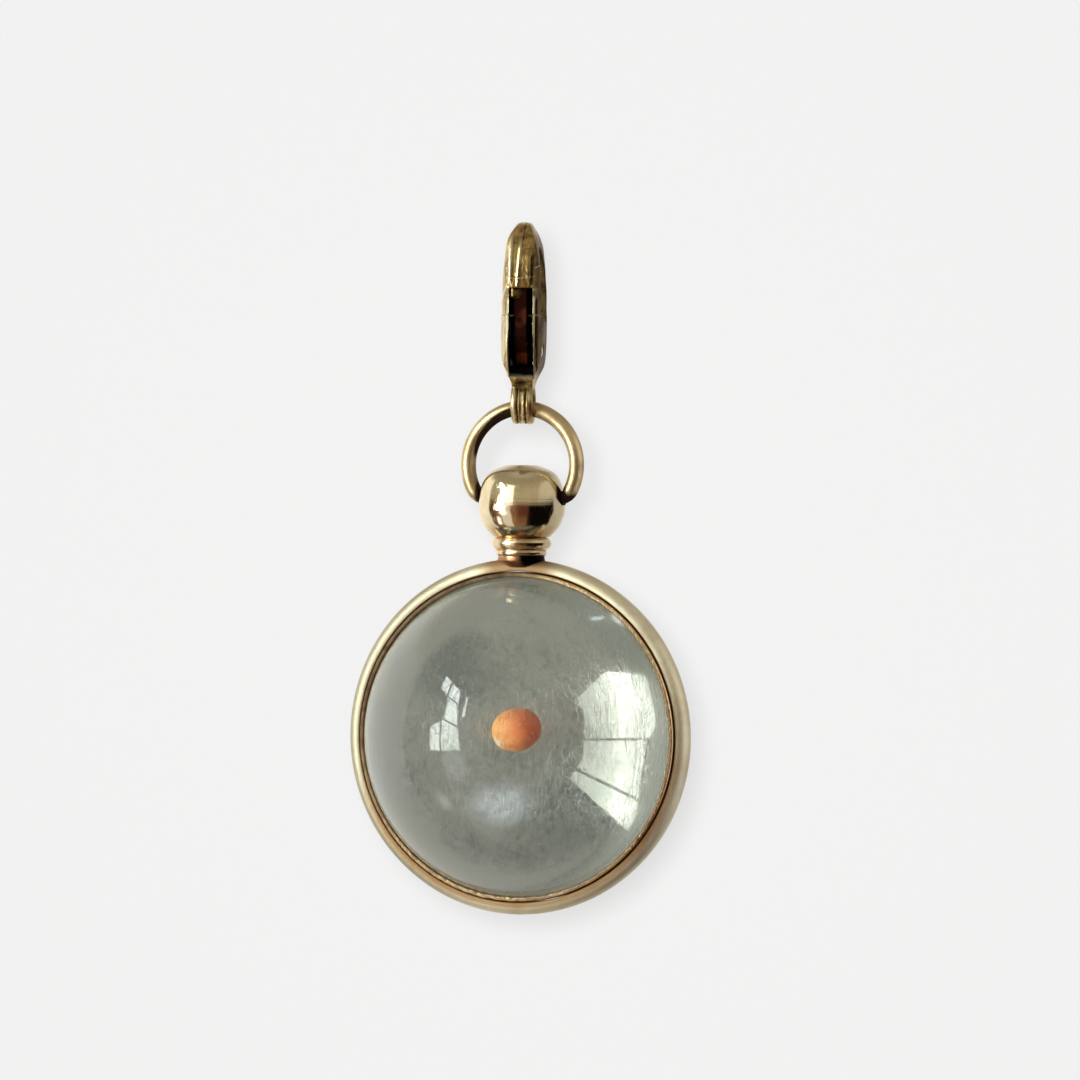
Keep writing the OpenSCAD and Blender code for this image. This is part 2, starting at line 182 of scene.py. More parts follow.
lamp_side, lamp_rise, lamp_size, lamp_energy = -0.0017, 0.0015, 0.0045, 14.0
lamp_place = aim + to_camera * camera_away + to_right * lamp_side + Vector((0, 0, lamp_rise))
shadow_lamp_lights = area_lamp(
    "shadow_lamp", lamp_energy, lamp_place, camera_turn, shape="DISK", size=lamp_size
)
shadow_lamp_lights.objects.link(paper_sheet)
front_box_lights = soft_box("front_box", -17, 21, 0.30, 0.106, 0.133, 1.4)
right_box_lights = soft_box("right_box", 82, -2, 0.30, 0.30, 0.34, 0.85)


# Light round the charm.  A tall window stands in front and to the left, and the room in front is dim,
# with a lit and a black patch on its floor.  The wall behind is pale, and the floor throws soft bluish
# light upward.  All of it is far away, and what the glass shows through it differs from what it mirrors.
def number(operation, *values, clamp=False):
    """A Math node whose inputs are sockets or plain numbers."""
    tree = next(value for value in values if isinstance(value, bpy.types.NodeSocket)).id_data
    node = new_node(tree, "Math", operation=operation, use_clamp=clamp)
    for socket, value in zip(node.inputs, values):
        fill(socket, value)
    return node.outputs["Value"]


def product(*values):
    result = values[0]
    for value in values[1:]:
        result = number("MULTIPLY", result, value)
    return result


def times_plus(value, factor, extra, clamp=False):
    return number("MULTIPLY_ADD", value, factor, extra, clamp=clamp)


def between(value, low, high, out_low=0.0, out_high=1.0):
    """A smooth step of a socket's value, from out_low at low to out_high at high."""
    node = new_node(value.id_data, "MapRange", interpolation_type="SMOOTHSTEP")
    feed(node, Value=value, From_Min=low, From_Max=high, To_Min=out_low, To_Max=out_high)
    return node.outputs["Result"]


def mixed(share, first, second):
    """A mix of two colours; share is a socket, and the colours are sockets or plain ones."""
    node = new_node(share.id_data, "Mix", data_type="RGBA")
    for place, value in ((0, share), (6, first), (7, second)):
        fill(node.inputs[place], (*value, 1.0) if isinstance(value, tuple) else value)
    return node.outputs[2]


def cloudy(place, scale, detail=3.0, rough=0.55, twist=0.0):
    """A noise value over a place; scale is in cycles for each unit of it."""
    node = feed(new_node(place.id_data, "TexNoise"), Vector=place, Scale=scale)
    return feed(node, Detail=detail, Roughness=rough, Distortion=twist).outputs["Fac"]


room = bpy.data.worlds.new("studio_light")
bpy.context.scene.world = room
tree = empty_tree(room)
way = new_node(tree, "TexCoord").outputs["Generated"]
way_up = feed(new_node(tree, "SeparateXYZ"), Vector=way).outputs["Z"]


def along(direction):
    """How far the way of a ray points along a direction, from -1 to 1."""
    node = new_node(tree, "VectorMath", operation="DOT_PRODUCT")
    node.inputs[1].default_value = direction
    return feed(node, Vector=way).outputs["Value"]


def level_way(degrees_round):
    """The level direction at an angle round from straight in front of the disc, positive to the right."""
    return Vector((sin(radians(degrees_round)), -cos(radians(degrees_round)), 0))


overhead = between(way_up, 0.45, 0.65)
level_share = number("SQRT", number("MAXIMUM", times_plus(product(way_up, way_up), -1.0, 1.0), 0.0001))


def heading(degrees_round):
    """The cosine between the level part of a ray's way and a level direction."""
    return number("DIVIDE", along(level_way(degrees_round)), level_share)


wall_round, wall_lit_side, right_side, window_side, floor_side, black_side = 195.5, -90, 100, -28, 62, 82
wall_dim, wall_bright, wall_foot = (0.50, 0.48, 0.44), (1.10, 1.08, 1.0), (0.30, 0.27, 0.20)
room_low, room_high = (0.46, 0.42, 0.32), (0.33, 0.29, 0.21)
room_right, ceiling = (0.57, 0.53, 0.44), (0.48, 0.43, 0.36)
floor_brown, floor_red, floor_by_window = (0.22, 0.13, 0.065), (0.115, 0.045, 0.028), (0.26, 0.13, 0.07)
floor_pale, black_void = (0.75, 0.70, 0.64), (0.004, 0.003, 0.003)
pale_wall = product(between(along(level_way(wall_round)), 0.07, 0.12), number("SUBTRACT", 1.0, overhead))
wall_tone = mixed(between(along(level_way(wall_lit_side)), -0.6, 0.8), wall_dim, wall_bright)
wall_tone = mixed(between(way_up, -0.15, -0.75, 0.0, 0.5), wall_tone, wall_foot)
upper_tone = mixed(between(way_up, 0.25, 0.75), room_low, room_high)
upper_tone = mixed(between(along(level_way(right_side)), 0.74, 0.82), upper_tone, room_right)
upper_tone = mixed(between(way_up, 0.85, 0.98), upper_tone, ceiling)
low_tone = mixed(between(way_up, -0.80, -0.50), floor_brown, floor_red)
low_tone = mixed(between(heading(window_side), 0.75, 0.93), low_tone, floor_by_window)
lit_floor = product(
    between(heading(floor_side), -0.33, -0.27), between(heading(floor_side), 0.27, 0.21),
    between(heading(window_side), 0.0, 0.2),
)
low_tone = mixed(lit_floor, low_tone, floor_pale)
low_tone = mixed(between(heading(black_side), 0.66, 0.72), low_tone, black_void)
dim_room = mixed(between(way_up, 0.150, 0.165), low_tone, upper_tone)
surroundings = mixed(pale_wall, dim_room, wall_tone)

window_round, least_facing, edge_soft = -47.0, 0.2, 0.012
pane_in = along(level_way(window_round))
pane_side = Vector((cos(radians(window_round)), sin(radians(window_round)), 0))
facing_window = number("GREATER_THAN", pane_in, least_facing)
pane_u = number("DIVIDE", along(pane_side), number("MAXIMUM", pane_in, least_facing))
pane_v = number("DIVIDE", way_up, number("MAXIMUM", pane_in, least_facing))


def line_value(across, up, constant):
    """across * u + up * v + constant over the window's plane."""
    return times_plus(pane_v, up, times_plus(pane_u, across, constant))


def beyond(value, soft=edge_soft):
    """1 on the side of a line where its value is positive."""
    return between(value, -soft, soft)


def inside(*lines, soft=edge_soft):
    """For each line (across, up, constant) over the window's plane, 1 on the side where it is positive."""
    return [beyond(line_value(*line), soft) for line in lines]


def glazing_bars(*bars):
    """For each bar (across, up, constant, half width), 0 on the bar and 1 in the panes."""
    return [between(number("ABSOLUTE", line_value(*line)), half * 0.6, half * 1.3) for *line, half in bars]


curtain = product(*inside((-1, 0, 0.050), (-0.5, 1, -0.155), (-0.65, -1, 0.44)))
open_panes = product(
    facing_window, *inside((1, 0, 0.142), (-1, -0.17, 0.270), (0.043, 1, 0.148), (-0.48, -1, 0.632)),
    number("SUBTRACT", 1.0, curtain),
    *glazing_bars((1, 0, -0.013, 0.011), (0.30, 1, -0.188, 0.012), (0.36, 1, -0.450, 0.011)),
)
side_pane = product(
    facing_window, *inside((1, 0, -0.296), (-1, 0, 0.330), soft=0.008), *inside((0, 1, -0.24), (0, -1, 0.50)),
)
pane_low, pane_high, pane_cloud = (14.0, 15.2, 13.4), (18.0, 19.5, 19.0), (10.5, 11.8, 11.2)
pane_clouds = between(cloudy(way, 22.0, 5.0, 0.5), 0.38, 0.60)
window_tone = mixed(pane_clouds, pane_cloud, mixed(between(pane_v, -0.1, 0.5), pane_low, pane_high))
surroundings = mixed(number("MAXIMUM", open_panes, side_pane), surroundings, window_tone)

cool_side, seen_warm, seen_cool, seen_high = (
    145, (0.325, 0.325, 0.288), (0.335, 0.347, 0.327), (0.352, 0.352, 0.290)
)
through_glass = mixed(between(along(level_way(cool_side)), 0.86, 0.97), seen_warm, seen_cool)
through_glass = mixed(product(between(way_up, 0.1, -0.6), 0.5), through_glass, seen_high)


def light_patch(before, round_degrees, up_degrees, half_wide, half_tall, tone, soft=0.5):
    """A soft-edged oval of light over what was there before, at an angle round and up from the disc."""
    middle_way = level_way(round_degrees)
    sideways = along(Vector((middle_way.y, -middle_way.x, 0)))
    rise = number("ADD", way_up, -sin(radians(up_degrees)))
    far = number("SQRT", number(
        "ADD", number("POWER", number("DIVIDE", sideways, half_wide), 2.0),
        number("POWER", number("DIVIDE", rise, half_tall), 2.0),
    ))
    share = product(between(far, 1 + soft, 1 - soft), between(along(middle_way), 0.1, 0.3))
    return mixed(share, before, tone)


patches_mirrored = (
    (-36, -17, 0.15, 0.17, (2.7, 2.8, 2.7)),
    (-58, -37, 0.075, 0.075, (2.4, 2.5, 2.6), 0.8),
)
patches_seen_through = (
    (201.8, 11.5, 0.090, 0.068, (0.82, 0.87, 0.92), 0.8),
    (-77, 14, 0.20, 0.66, (0.76, 0.77, 0.71)),
    (-68, -42, 0.24, 0.22, (0.47, 0.48, 0.44)),
    (-79, -44.5, 0.060, 0.035, (1.8, 1.95, 2.1), 0.3),
    (-63, -47, 0.070, 0.010, (1.7, 1.9, 2.1), 0.4),
)
for patch in patches_mirrored:
    surroundings = light_patch(surroundings, *patch)
for patch in patches_seen_through:
    through_glass = light_patch(through_glass, *patch)
left_limit = number(
    "SUBTRACT", between(pane_v, -0.14, 0.05, 0.495, 0.355), between(pane_v, 0.2, 0.6, 0.0, -0.095)
)
seen_panes = product(
    facing_window, beyond(times_plus(product(pane_v, pane_v), 1.6, line_value(-1, 0, 0.142))),
    beyond(number("ADD", pane_u, left_limit)), *inside((-0.66, -1, 0.386), (-0.71, 1, 0.405), (0, 1, 0.465)),
    *glazing_bars((0, 1, 0.020, 0.010), (0.37, 1, -0.241, 0.012)),
)
pane_half, far_fade, near_strength = 0.31, 3.2, 2.3
seen_light, backdrop = (0.985, 1.0, 0.93), (0.896, 0.896, 0.896, 1)
far_side = number("DIVIDE", product(pane_u, -1.0), pane_half)
far_side = number("POWER", number("MAXIMUM", far_side, 0.0), 1.8)
strength = times_plus(number("MINIMUM", far_side, 1.0), -far_fade, far_fade)
strength = product(number("EXPONENT", strength), near_strength, times_plus(pane_clouds, 0.28, 0.84))
seen_tone = new_node(tree, "VectorMath", operation="SCALE")
feed(seen_tone, Vector=seen_light, Scale=strength)
through_glass = mixed(seen_panes, through_glass, seen_tone.outputs["Vector"])
light_path = new_node(tree, "LightPath")
surroundings = mixed(light_path.outputs["Is Transmission Ray"], surroundings, through_glass)

room_light = feed(new_node(tree, "Background"), Color=surroundings)
plain_pale = feed(new_node(tree, "Background"), Color=backdrop)
seen_or_lighting = new_node(tree, "MixShader")
fill(seen_or_lighting.inputs[0], light_path.outputs["Is Camera Ray"])
fill(seen_or_lighting.inputs[1], room_light.outputs[0])
fill(seen_or_lighting.inputs[2], plain_pale.outputs[0])
feed(new_node(tree, "OutputWorld"), Surface=seen_or_lighting.outputs[0])


# Clasp body.  A cast brass lobster claw, hung with its gate side to the front and turned a little.
# Its crest carries a seam and a slit, the slot for the lever has raised lips, and the shank above
# the eye has two fine grooves.  The polish is left on the high places and brown tarnish in the low.
# The slit, the left bank and the slot's inside are painted dark as shade, the right flank is painted
# darker brown as shade, and the ridges, lips, sill and left cheek carry painted highlights.
def effect_group(name, outputs, **inputs):
    """A new shader node group with named numbers in and out, and the sockets and node inside its ends."""
    group = bpy.data.node_groups.new(name, "ShaderNodeTree")
    for label, value in inputs.items():
        label = label.replace("_", " ")
        group.interface.new_socket(label, in_out="INPUT", socket_type="NodeSocketFloat").default_value = value
    for label in outputs:
        group.interface.new_socket(label, in_out="OUTPUT", socket_type="NodeSocketFloat")
    return group, group.nodes.new("NodeGroupInput").outputs, group.nodes.new("NodeGroupOutput")


def placed_group(tree, group, **values):
    return feed(new_node(tree, "Group", node_tree=group), **values).outputs


def place_in_mm(tree):
    """The place on the charm in millimetres."""
    place = new_node(tree, "TexCoord").outputs["Object"]
    return feed(new_node(tree, "VectorMath", operation="SCALE"), Vector=place, Scale=1000.0).outputs["Vector"]


wear_group, given, made = effect_group(
    "wear_and_tarnish", ("Tarnish", "Polished Edge", "Speck"),
    Cloud_Scale=0.5, Tarnish_Amount=0.5, Edge_Polish=0.5,
)
place = place_in_mm(wear_group)
clouds = between(cloudy(place, given["Cloud Scale"], 5.0, 0.62, 0.4), 0.42, 0.66)
curve_of_surface = new_node(wear_group, "NewGeometry").outputs["Pointiness"]
lower = number("ADD", clouds, product(between(curve_of_surface, 0.50, 0.44), 1.3))
edge = between(curve_of_surface, 0.52, 0.58)
feed(
    made, Tarnish=number("MULTIPLY", lower, given["Tarnish Amount"], clamp=True),
    Polished_Edge=number("MULTIPLY", edge, given["Edge Polish"], clamp=True),
    Speck=between(cloudy(place, 9.0, 2.0, 0.6), 0.66, 0.74),
)

scratch_group, given, made = effect_group(
    "hairline_scratches", ("Scratch",), Scratch_Scale=1.0, Scratch_Amount=0.5
)
place = place_in_mm(scratch_group)
scratch_sum = None
for turn, stretch in (((0.4, 0.3, 0.5), 34.0), ((1.3, 0.9, 2.1), 26.0), ((2.4, 0.2, 1.2), 40.0)):
    drawn_out = feed(
        new_node(scratch_group, "Mapping"), Vector=place, Rotation=turn, Scale=(stretch, 0.9, 3.0)
    )
    thin = between(cloudy(drawn_out.outputs["Vector"], given["Scratch Scale"], 1.0, 0.4), 0.655, 0.70)
    scratch_sum = thin if scratch_sum is None else number("MAXIMUM", scratch_sum, thin)
feed(made, Scratch=number("MULTIPLY", scratch_sum, given["Scratch Amount"], clamp=True))


def bump_map(height, strength, deepest_mm):
    """The normal of a surface that a height from 0 to 1 makes rough."""
    bump = new_node(height.id_data, "Bump")
    return feed(bump, Strength=strength, Distance=deepest_mm * MM, Height=height).outputs["Normal"]


def metal_material(name, plain, polished, tarnished, rough_low, rough_high, cloud_scale=0.5, tarnish=0.5,
                   edge_polish=0.5, scratches=0.4, relief=0.5, layers=(), lines=None):
    """Worn brass or gold.  Each of layers is (mesh attribute, colour, share of metal left under it), laid
    over the metal where the attribute is high; lines makes a height from tool marks."""
    material = bpy.data.materials.new(name)
    tree = empty_tree(material)
    wear = placed_group(
        tree, wear_group, Cloud_Scale=cloud_scale, Tarnish_Amount=tarnish, Edge_Polish=edge_polish
    )
    scratch = placed_group(tree, scratch_group, Scratch_Scale=0.7, Scratch_Amount=scratches)["Scratch"]
    dull = wear["Tarnish"]
    colour = mixed(dull, plain, tarnished)
    colour = mixed(product(wear["Speck"], 0.5), colour, tarnished)
    colour = mixed(wear["Polished Edge"], colour, polished)
    colour = mixed(product(scratch, 0.35), colour, polished)
    metal_left = 1.0
    for attribute_name, layer_colour, metal_share in layers:
        layer = new_node(tree, "Attribute", attribute_name=attribute_name).outputs["Fac"]
        layer = number("MULTIPLY", layer, times_plus(wear["Tarnish"], 0.3, 1.0), clamp=True)
        colour = mixed(layer, colour, layer_colour)
        if metal_share < 1.0:
            dull = number("MAXIMUM", dull, layer, clamp=True)
        else:
            dull = number("MULTIPLY", dull, number("SUBTRACT", 1.0, layer), clamp=True)
        metal_left = number("MULTIPLY", metal_left, times_plus(layer, metal_share - 1.0, 1.0), clamp=True)
    shine = times_plus(scratch, 0.12, times_plus(dull, rough_high - rough_low, rough_low))
    grain = cloudy(place_in_mm(tree), 6.0, 4.0, 0.6)
    height = times_plus(scratch, -0.6, product(grain, 0.7))
    if lines:
        height = number("ADD", height, lines(tree))
    surface = feed(
        new_node(tree, "BsdfPrincipled"), Specular_IOR_Level=0.03, Metallic=metal_left, Base_Color=colour,
        Roughness=shine, Normal=bump_map(height, relief, 0.012),
    )
    feed(new_node(tree, "OutputMaterial"), Surface=surface.outputs[0])
    return material


def remeshed(node_name, name, voxel_mm, smooth_steps):
    """A solid's mesh in millimetres, rebuilt as one even skin with its edges softened."""
    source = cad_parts[node_name].data.copy()
    source.transform(Matrix.Scale(1000, 4))
    holder = bpy.data.objects.new(name + "_work", source)
    bpy.context.scene.collection.objects.link(holder)
    skin = holder.modifiers.new("skin", "REMESH")
    skin.mode, skin.voxel_size = "VOXEL", voxel_mm
    soften = holder.modifiers.new("soften", "SMOOTH")
    soften.factor, soften.iterations = 0.5, smooth_steps
    mesh = bpy.data.meshes.new_from_object(holder.evaluated_get(bpy.context.evaluated_depsgraph_get()))
    mesh.name = name
    bpy.data.objects.remove(holder)
    return mesh


def mesh_vectors(mesh, kind="co"):
    """The points of a mesh, or with "normal" its normals, one to a row."""
    vectors = np.zeros(len(mesh.vertices) * 3)
    mesh.vertices.foreach_get(kind, vectors)
    return vectors.reshape(-1, 3)


def finish_mesh(mesh, points, **attributes):
    """Writes points given in millimetres, smooths the shading and stores named values for the material."""
    mesh.vertices.foreach_set("co", (points * MM).ravel())
    for name, values in attributes.items():
        layer = mesh.attributes.new(name, "FLOAT", "POINT")
        layer.data.foreach_set("value", np.clip(values, 0, 1).astype(np.float32))
    mesh.shade_smooth()
    mesh.update()


def softened(mesh, points, shares, steps):
    """Points drawn towards their neighbours, step by step, by a share for each point."""
    ends = np.zeros(len(mesh.edges) * 2, dtype=np.int64)
    mesh.edges.foreach_get("vertices", ends)
    one, two = ends.reshape(-1, 2).T
    near = np.maximum(np.bincount(one, minlength=len(points)) + np.bincount(two, minlength=len(points)), 1)
    for _ in range(steps):
        middle = np.column_stack([
            np.bincount(one, points[two, k], len(points)) + np.bincount(two, points[one, k], len(points))
            for k in range(3)
        ]) / near[:, None]
        points = points + (middle - points) * (0.5 * shares)[:, None]
    return points


def ridge(distance, width):
    """A soft bump, 1 where distance is 0, that fades over a width."""
    return np.exp(-((distance / width) ** 2))


def ramp(value, low, high):
    """A smooth step from 0 at low to 1 at high."""
    share = np.clip((value - low) / (high - low), 0, 1)
    return share * share * (3 - 2 * share)


def span(value, start, full_from, full_to, end):
    """1 between two values, fading to 0 outside them."""
    return ramp(value, start, full_from) * ramp(value, end, full_to)


def noise_at(points, scale, shift=0.0):
    return np.array([noise.noise(Vector(point) * scale + Vector((shift, 0, 0))) for point in points])


def turned(vectors, angle):
    """Vectors turned about the upright line.  By clasp_turn they come out as across, depth and height."""
    x, y, z = vectors.T
    return np.column_stack((x * cos(angle) + y * sin(angle), y * cos(angle) - x * sin(angle), z))


clasp_turn = radians(12)
hook_z, nose_end, gate_foot, slot_top, slot_bottom, hub_floor = 1.7, -2.1, -4.5, -2.8, -8.45, -7.95
slot_half, shank_top, pinch_z, eye_z, eye_outer = 0.75, -9.25, -9.12, -10.37, 0.92
hook_inside, edge_reach, edge_flare, flare_from, flare_to = 1.5, 0.66, 0.58, -2.0, -3.9
seam_across, seam_lean, strip_left, slit_across = 0.18, 0.04, 0.14, 0.80


def claw_relief(across, depth, height, front_share):
    """Lift, darkness and painted highlight of the lines down the claw's nose and over the gate's head.
    The darkness is a dark seam, with painted shade in the slit and beside the left edge.
    """
    edge_line = edge_reach + edge_flare * ramp(height, flare_from, flare_to)
    at_front = ramp(depth, -1.2, -1.9)
    fade = span(height, gate_foot - 0.3, gate_foot + 0.3, 0.1, 1.0) * at_front
    left_edge = ridge(across + edge_line, 0.095) * fade
    left_bank = ridge(across + edge_line - 0.19, 0.10) * fade
    right_bank = ridge(across - edge_line + 0.16, 0.10) * fade
    down_nose = ramp(height, nose_end - 0.75, nose_end - 0.45) * front_share
    seam_line = seam_across + seam_lean * (height - hook_z)
    seam = ridge(across - seam_line, 0.045) * down_nose * ramp(height, -0.6, 0.6)
    strip_line = seam_line - strip_left - 0.05 * ramp(-height, 0.0, 2.6)
    strip = ridge(across - strip_line, 0.085) * down_nose * ramp(height, 0.6, -0.2)
    slit = ridge(across - slit_across - 0.02 * height, 0.06) * at_front
    slit = slit * span(height, nose_end - 0.65, nose_end - 0.4, -0.95, -0.55)
    lift = 0.12 * left_edge - 0.02 * left_bank + 0.02 * right_bank + 0.07 * strip - 0.045 * seam - 0.15 * slit
    dark = 0.65 * seam + slit + 0.35 * left_bank
    return lift, dark, np.maximum(ridge(across + edge_line, 0.13) * fade, 0.8 * strip)


def slot_lips(across, outside):
    """The raised lips beside the slot and the groove along the right one."""
    left = ridge(across + slot_half + 0.11, 0.09) * outside
    right = ridge(across - slot_half - 0.06, 0.05) * outside
    groove = ridge(across - slot_half - 0.24, 0.075) * outside
    return left, right, groove


clasp_voxel, soft_steps, crest_steps = 0.053, 10, 29
clasp_mesh = remeshed("clasp_body", "clasp_body_cast", clasp_voxel, 2)
points, normals = (turned(mesh_vectors(clasp_mesh, kind), clasp_turn) for kind in ("co", "normal"))
across, depth, height = points.T
cut_edges = ramp(-depth, 0.2, 0.8) * ramp(np.abs(height - (nose_end + gate_foot) / 2), 1.9, 1.6)
slot_mouth = span(height, slot_bottom - 0.45, slot_bottom - 0.25, gate_foot + 0.1, gate_foot + 0.5)
slot_mouth = slot_mouth * ramp(np.abs(across), 1.0, 0.9)
points = softened(clasp_mesh, points, 0.08 + 0.92 * (1 - cut_edges) * (1 - slot_mouth), soft_steps)
points = softened(clasp_mesh, points, ramp(points[:, 2], -1.5, -0.3), crest_steps)
across, depth, height = points.T
outside = ramp(-normals[:, 1], 0.0, 0.35) * ramp(depth, 0.6, -0.4)
crown = ramp(normals[:, 2], 0.1, 0.5) * ramp(height, -0.4, 0.6)
in_slot_run = span(height, slot_bottom - 0.35, slot_bottom, gate_foot - 0.2, gate_foot + 0.3)
left_lip, right_lip, right_groove = slot_lips(across, outside)
left_lip, right_lip = left_lip * in_slot_run, right_lip * in_slot_run
right_groove = right_groove * span(
    height, slot_bottom - 0.05, slot_bottom + 0.35, gate_foot - 0.1, gate_foot + 0.1
)
sill = ridge(height - slot_bottom + 0.16 + 0.12 * across, 0.14) * ramp(np.abs(across), 1.0, 0.7) * outside
shank_run = ramp(height, shank_top, shank_top - 0.25)
pinch = ridge(height - pinch_z, 0.20) * ridge(across, 0.50) * outside
grooves = (ridge(across - 0.27, 0.055) + ridge(across + 0.27, 0.055)) * shank_run
grooves = grooves * ramp(np.abs(np.hypot(depth, height - eye_z) - eye_outer), 0.10, 0.3)
shank_ridges = (ridge(np.abs(across) - 0.52, 0.09) + ridge(across, 0.09)) * shank_run * outside
relief_lift, relief_dark, relief_rubbed = claw_relief(across, depth, height, np.maximum(outside, crown))
lift = relief_lift + 0.05 * (left_lip + right_lip) - 0.12 * right_groove
lift = lift + 0.12 * sill - 0.14 * pinch - 0.075 * grooves
waver = noise_at(points, 0.9) * 0.022
points = points + normals * (lift + waver * (1 - in_slot_run * 0.5))[:, None]
points[:, 0] += 0.10 * in_slot_run * span(across, 0.5, 0.7, 0.9, 1.3) * ramp(-depth, 1.2, 2.0)
under_hub = ridge(depth + 0.10, 0.22) * ramp(np.abs(across), 0.8, 0.7) * ridge(height - hub_floor, 0.08)
points[:, 2] += 0.20 * under_hub
# The inside of the slot is painted near-black as shade.
inside_slot = ramp(np.abs(across), slot_half + 0.10, slot_half + 0.02) * in_slot_run
inside_slot = inside_slot * span(depth, -2.95, -2.7, 2.65, 2.95)
joint_face = ramp(-normals[:, 2], 0.5, 0.9) * ramp(np.abs(height - nose_end), 0.35, 0.2)
joint_face = joint_face * ramp(depth, -1.4, -1.8)
left_cheek = span(height, slot_bottom + 0.05, slot_bottom + 0.65, gate_foot + 0.1, gate_foot + 0.9)
left_cheek = left_cheek * ramp(-across, 0.95, 1.15) * ramp(-normals[:, 1], 0.1, 0.5)
inside_hook = ramp(hook_inside + 0.14 - np.hypot(depth, np.maximum(0, height + hook_inside)), 0.0, 0.10)
inside_hook = inside_hook * ramp(height, gate_foot - 0.6, gate_foot - 0.1)
finish_mesh(
    clasp_mesh, turned(points, -clasp_turn),
    # The right-facing flank is painted darker brown as shade.
    aged=0.85 * ramp(normals[:, 0], 0.35, 0.8) * ramp(across, 0.7, 1.1),
    # Bright polished brass is painted on the ridges, lips, sill, shank ridges and left cheek as highlights,
    # and on the joint's faces to lighten its shade.
    rubbed=(relief_rubbed + left_lip + right_lip + 1.4 * sill + 0.8 * shank_ridges + 0.5 * left_cheek
            + 0.4 * joint_face),
    # The seam, pinch and grooves hold brown dirt, the inside of the hook is darker, and the slit and the
    # ground beside the left edge carry painted shade.
    hollow=relief_dark + pinch + 0.95 * grooves + 0.7 * inside_hook + right_groove, black_gap=inside_slot,
)

aged_brown, rubbed_brass, red_film, rubbed_red = (
    (0.105, 0.060, 0.022), (0.93, 0.82, 0.55), (0.022, 0.0045, 0.003), (0.095, 0.022, 0.010)
)
# The near-black colour is painted shade, for the slot, the gaps beside the lever's arm and the right of the
# neck's foot.
brown_dirt, black_dirt = (0.030, 0.012, 0.005), (0.0012, 0.0008, 0.0006)
cast_brass = dict(
    plain=(0.58, 0.40, 0.145), polished=(0.92, 0.79, 0.49), tarnished=(0.115, 0.052, 0.014), rough_low=0.28,
    rough_high=0.50, cloud_scale=0.9, tarnish=0.85, edge_polish=0.7, scratches=0.5, relief=0.6,
)
# Layers: a darker right flank as painted shade, painted highlights, and brown dirt with painted shade in the
# low places.
cast_layers = (("aged", aged_brown, 0.9), ("rubbed", rubbed_brass, 1.0), ("hollow", brown_dirt, 0.1))
black_layer = ("black_gap", black_dirt, 0.0)
clasp_brass = metal_material("clasp_brass", layers=(*cast_layers, black_layer), **cast_brass)
clasp_piece = link_piece("clasp_body_cast", clasp_mesh, clasp_brass)
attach(clasp_piece, "clasp")
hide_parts("clasp_body")


# Lever.  A brass casting that turns on the rivet.  Its head fills the claw's mouth flush with it and
# carries on its slot; the narrow arm below lies deep between gaps painted black as shade, and is
# painted a very dark red-brown, red tarnish darkened as painted shade, with rusty patches low down;
# a ribbed thumb piece stands out at the back.
lever_pivot = (-0.9, -6.9)
arm_half, web_half, thumb_start, ribs_per_mm = 0.40, 0.69, 3.30, 5.0
joint_closed_by, lever_voxel = 0.075, 0.035

lever_mesh = remeshed("clasp_lever", "lever_cast", lever_voxel, 4)
points, normals = (turned(mesh_vectors(lever_mesh, kind), clasp_turn) for kind in ("co", "normal"))
across, depth, height = points.T
outside = ramp(-normals[:, 1], 0.0, 0.35) * ramp(depth, -2.3, -2.6)
relief_lift, relief_dark, relief_rubbed = claw_relief(across, depth, height, outside)
below_top = ramp(height, slot_top + 0.05, slot_top - 0.05)
in_recess_run = below_top * ramp(height, gate_foot - 0.25, gate_foot - 0.1)
in_recess = below_top * ramp(np.abs(across), slot_half + 0.06, slot_half)
proud = ramp(-depth, 2.66, 2.74)
beside_arm = ramp(np.abs(across), arm_half, arm_half + 0.06) * in_recess * (1 - proud)
beside_arm = beside_arm * ramp(depth, -1.9, -2.4) * ramp(height, gate_foot - 0.12, gate_foot)
beside_arm = beside_arm * (1 - (across < 0) * ramp(height, slot_top - 0.8, slot_top - 0.6))
grip = ridge(np.mod(height * ribs_per_mm, 1.0) - 0.5, 0.28)
grip = grip * ramp(depth, thumb_start + 0.05, thumb_start + 0.3)
pits = noise_at(points, 2.1)
left_lip, right_lip, right_groove = slot_lips(across, outside)
left_lip = left_lip * ramp(height, slot_top - 0.6, slot_top - 1.0) * proud
right_lip = right_lip * ramp(height, slot_top - 0.4, slot_top - 0.8) * proud
right_groove = right_groove * ramp(height, slot_top - 0.5, slot_top - 1.0)
lift = relief_lift + 0.05 * (left_lip + right_lip) - 0.12 * right_groove + 0.03 * grip
points = points + normals * (lift + 0.012 * pits * (1 - proud))[:, None]
points[:, 0] += 0.10 * span(across, 0.5, 0.7, 0.9, 1.3) * in_recess_run * ramp(-depth, 2.0, 2.5)
left_pad = ridge(across + 0.50, 0.26) * in_recess_run * ramp(depth, -2.05, -2.2)
left_pad = left_pad * ramp(height, slot_top - 0.8, slot_top - 0.55)
points[:, 1] -= 0.26 * left_pad
joint_up = ramp(normals[:, 2], 0.4, 0.8) * ramp(height, nose_end - 0.5, nose_end - 0.3)
joint_down = ramp(-normals[:, 2], 0.4, 0.8) * ridge(height - gate_foot, 0.12)
joint_down = joint_down * ramp(np.abs(across), slot_half, slot_half + 0.06)
points[:, 2] += joint_closed_by * (joint_up - joint_down)
points[:, 1] += 0.34 * beside_arm
web = span(height, -6.6, -6.4, gate_foot - 0.22, gate_foot - 0.12) * span(depth, -2.30, -2.20, -1.5, -1.2)
web = web * np.maximum(0, web_half - np.abs(across)) * ramp(np.abs(across), 0.25, 0.40)
points[:, 0] += np.sign(across) * web
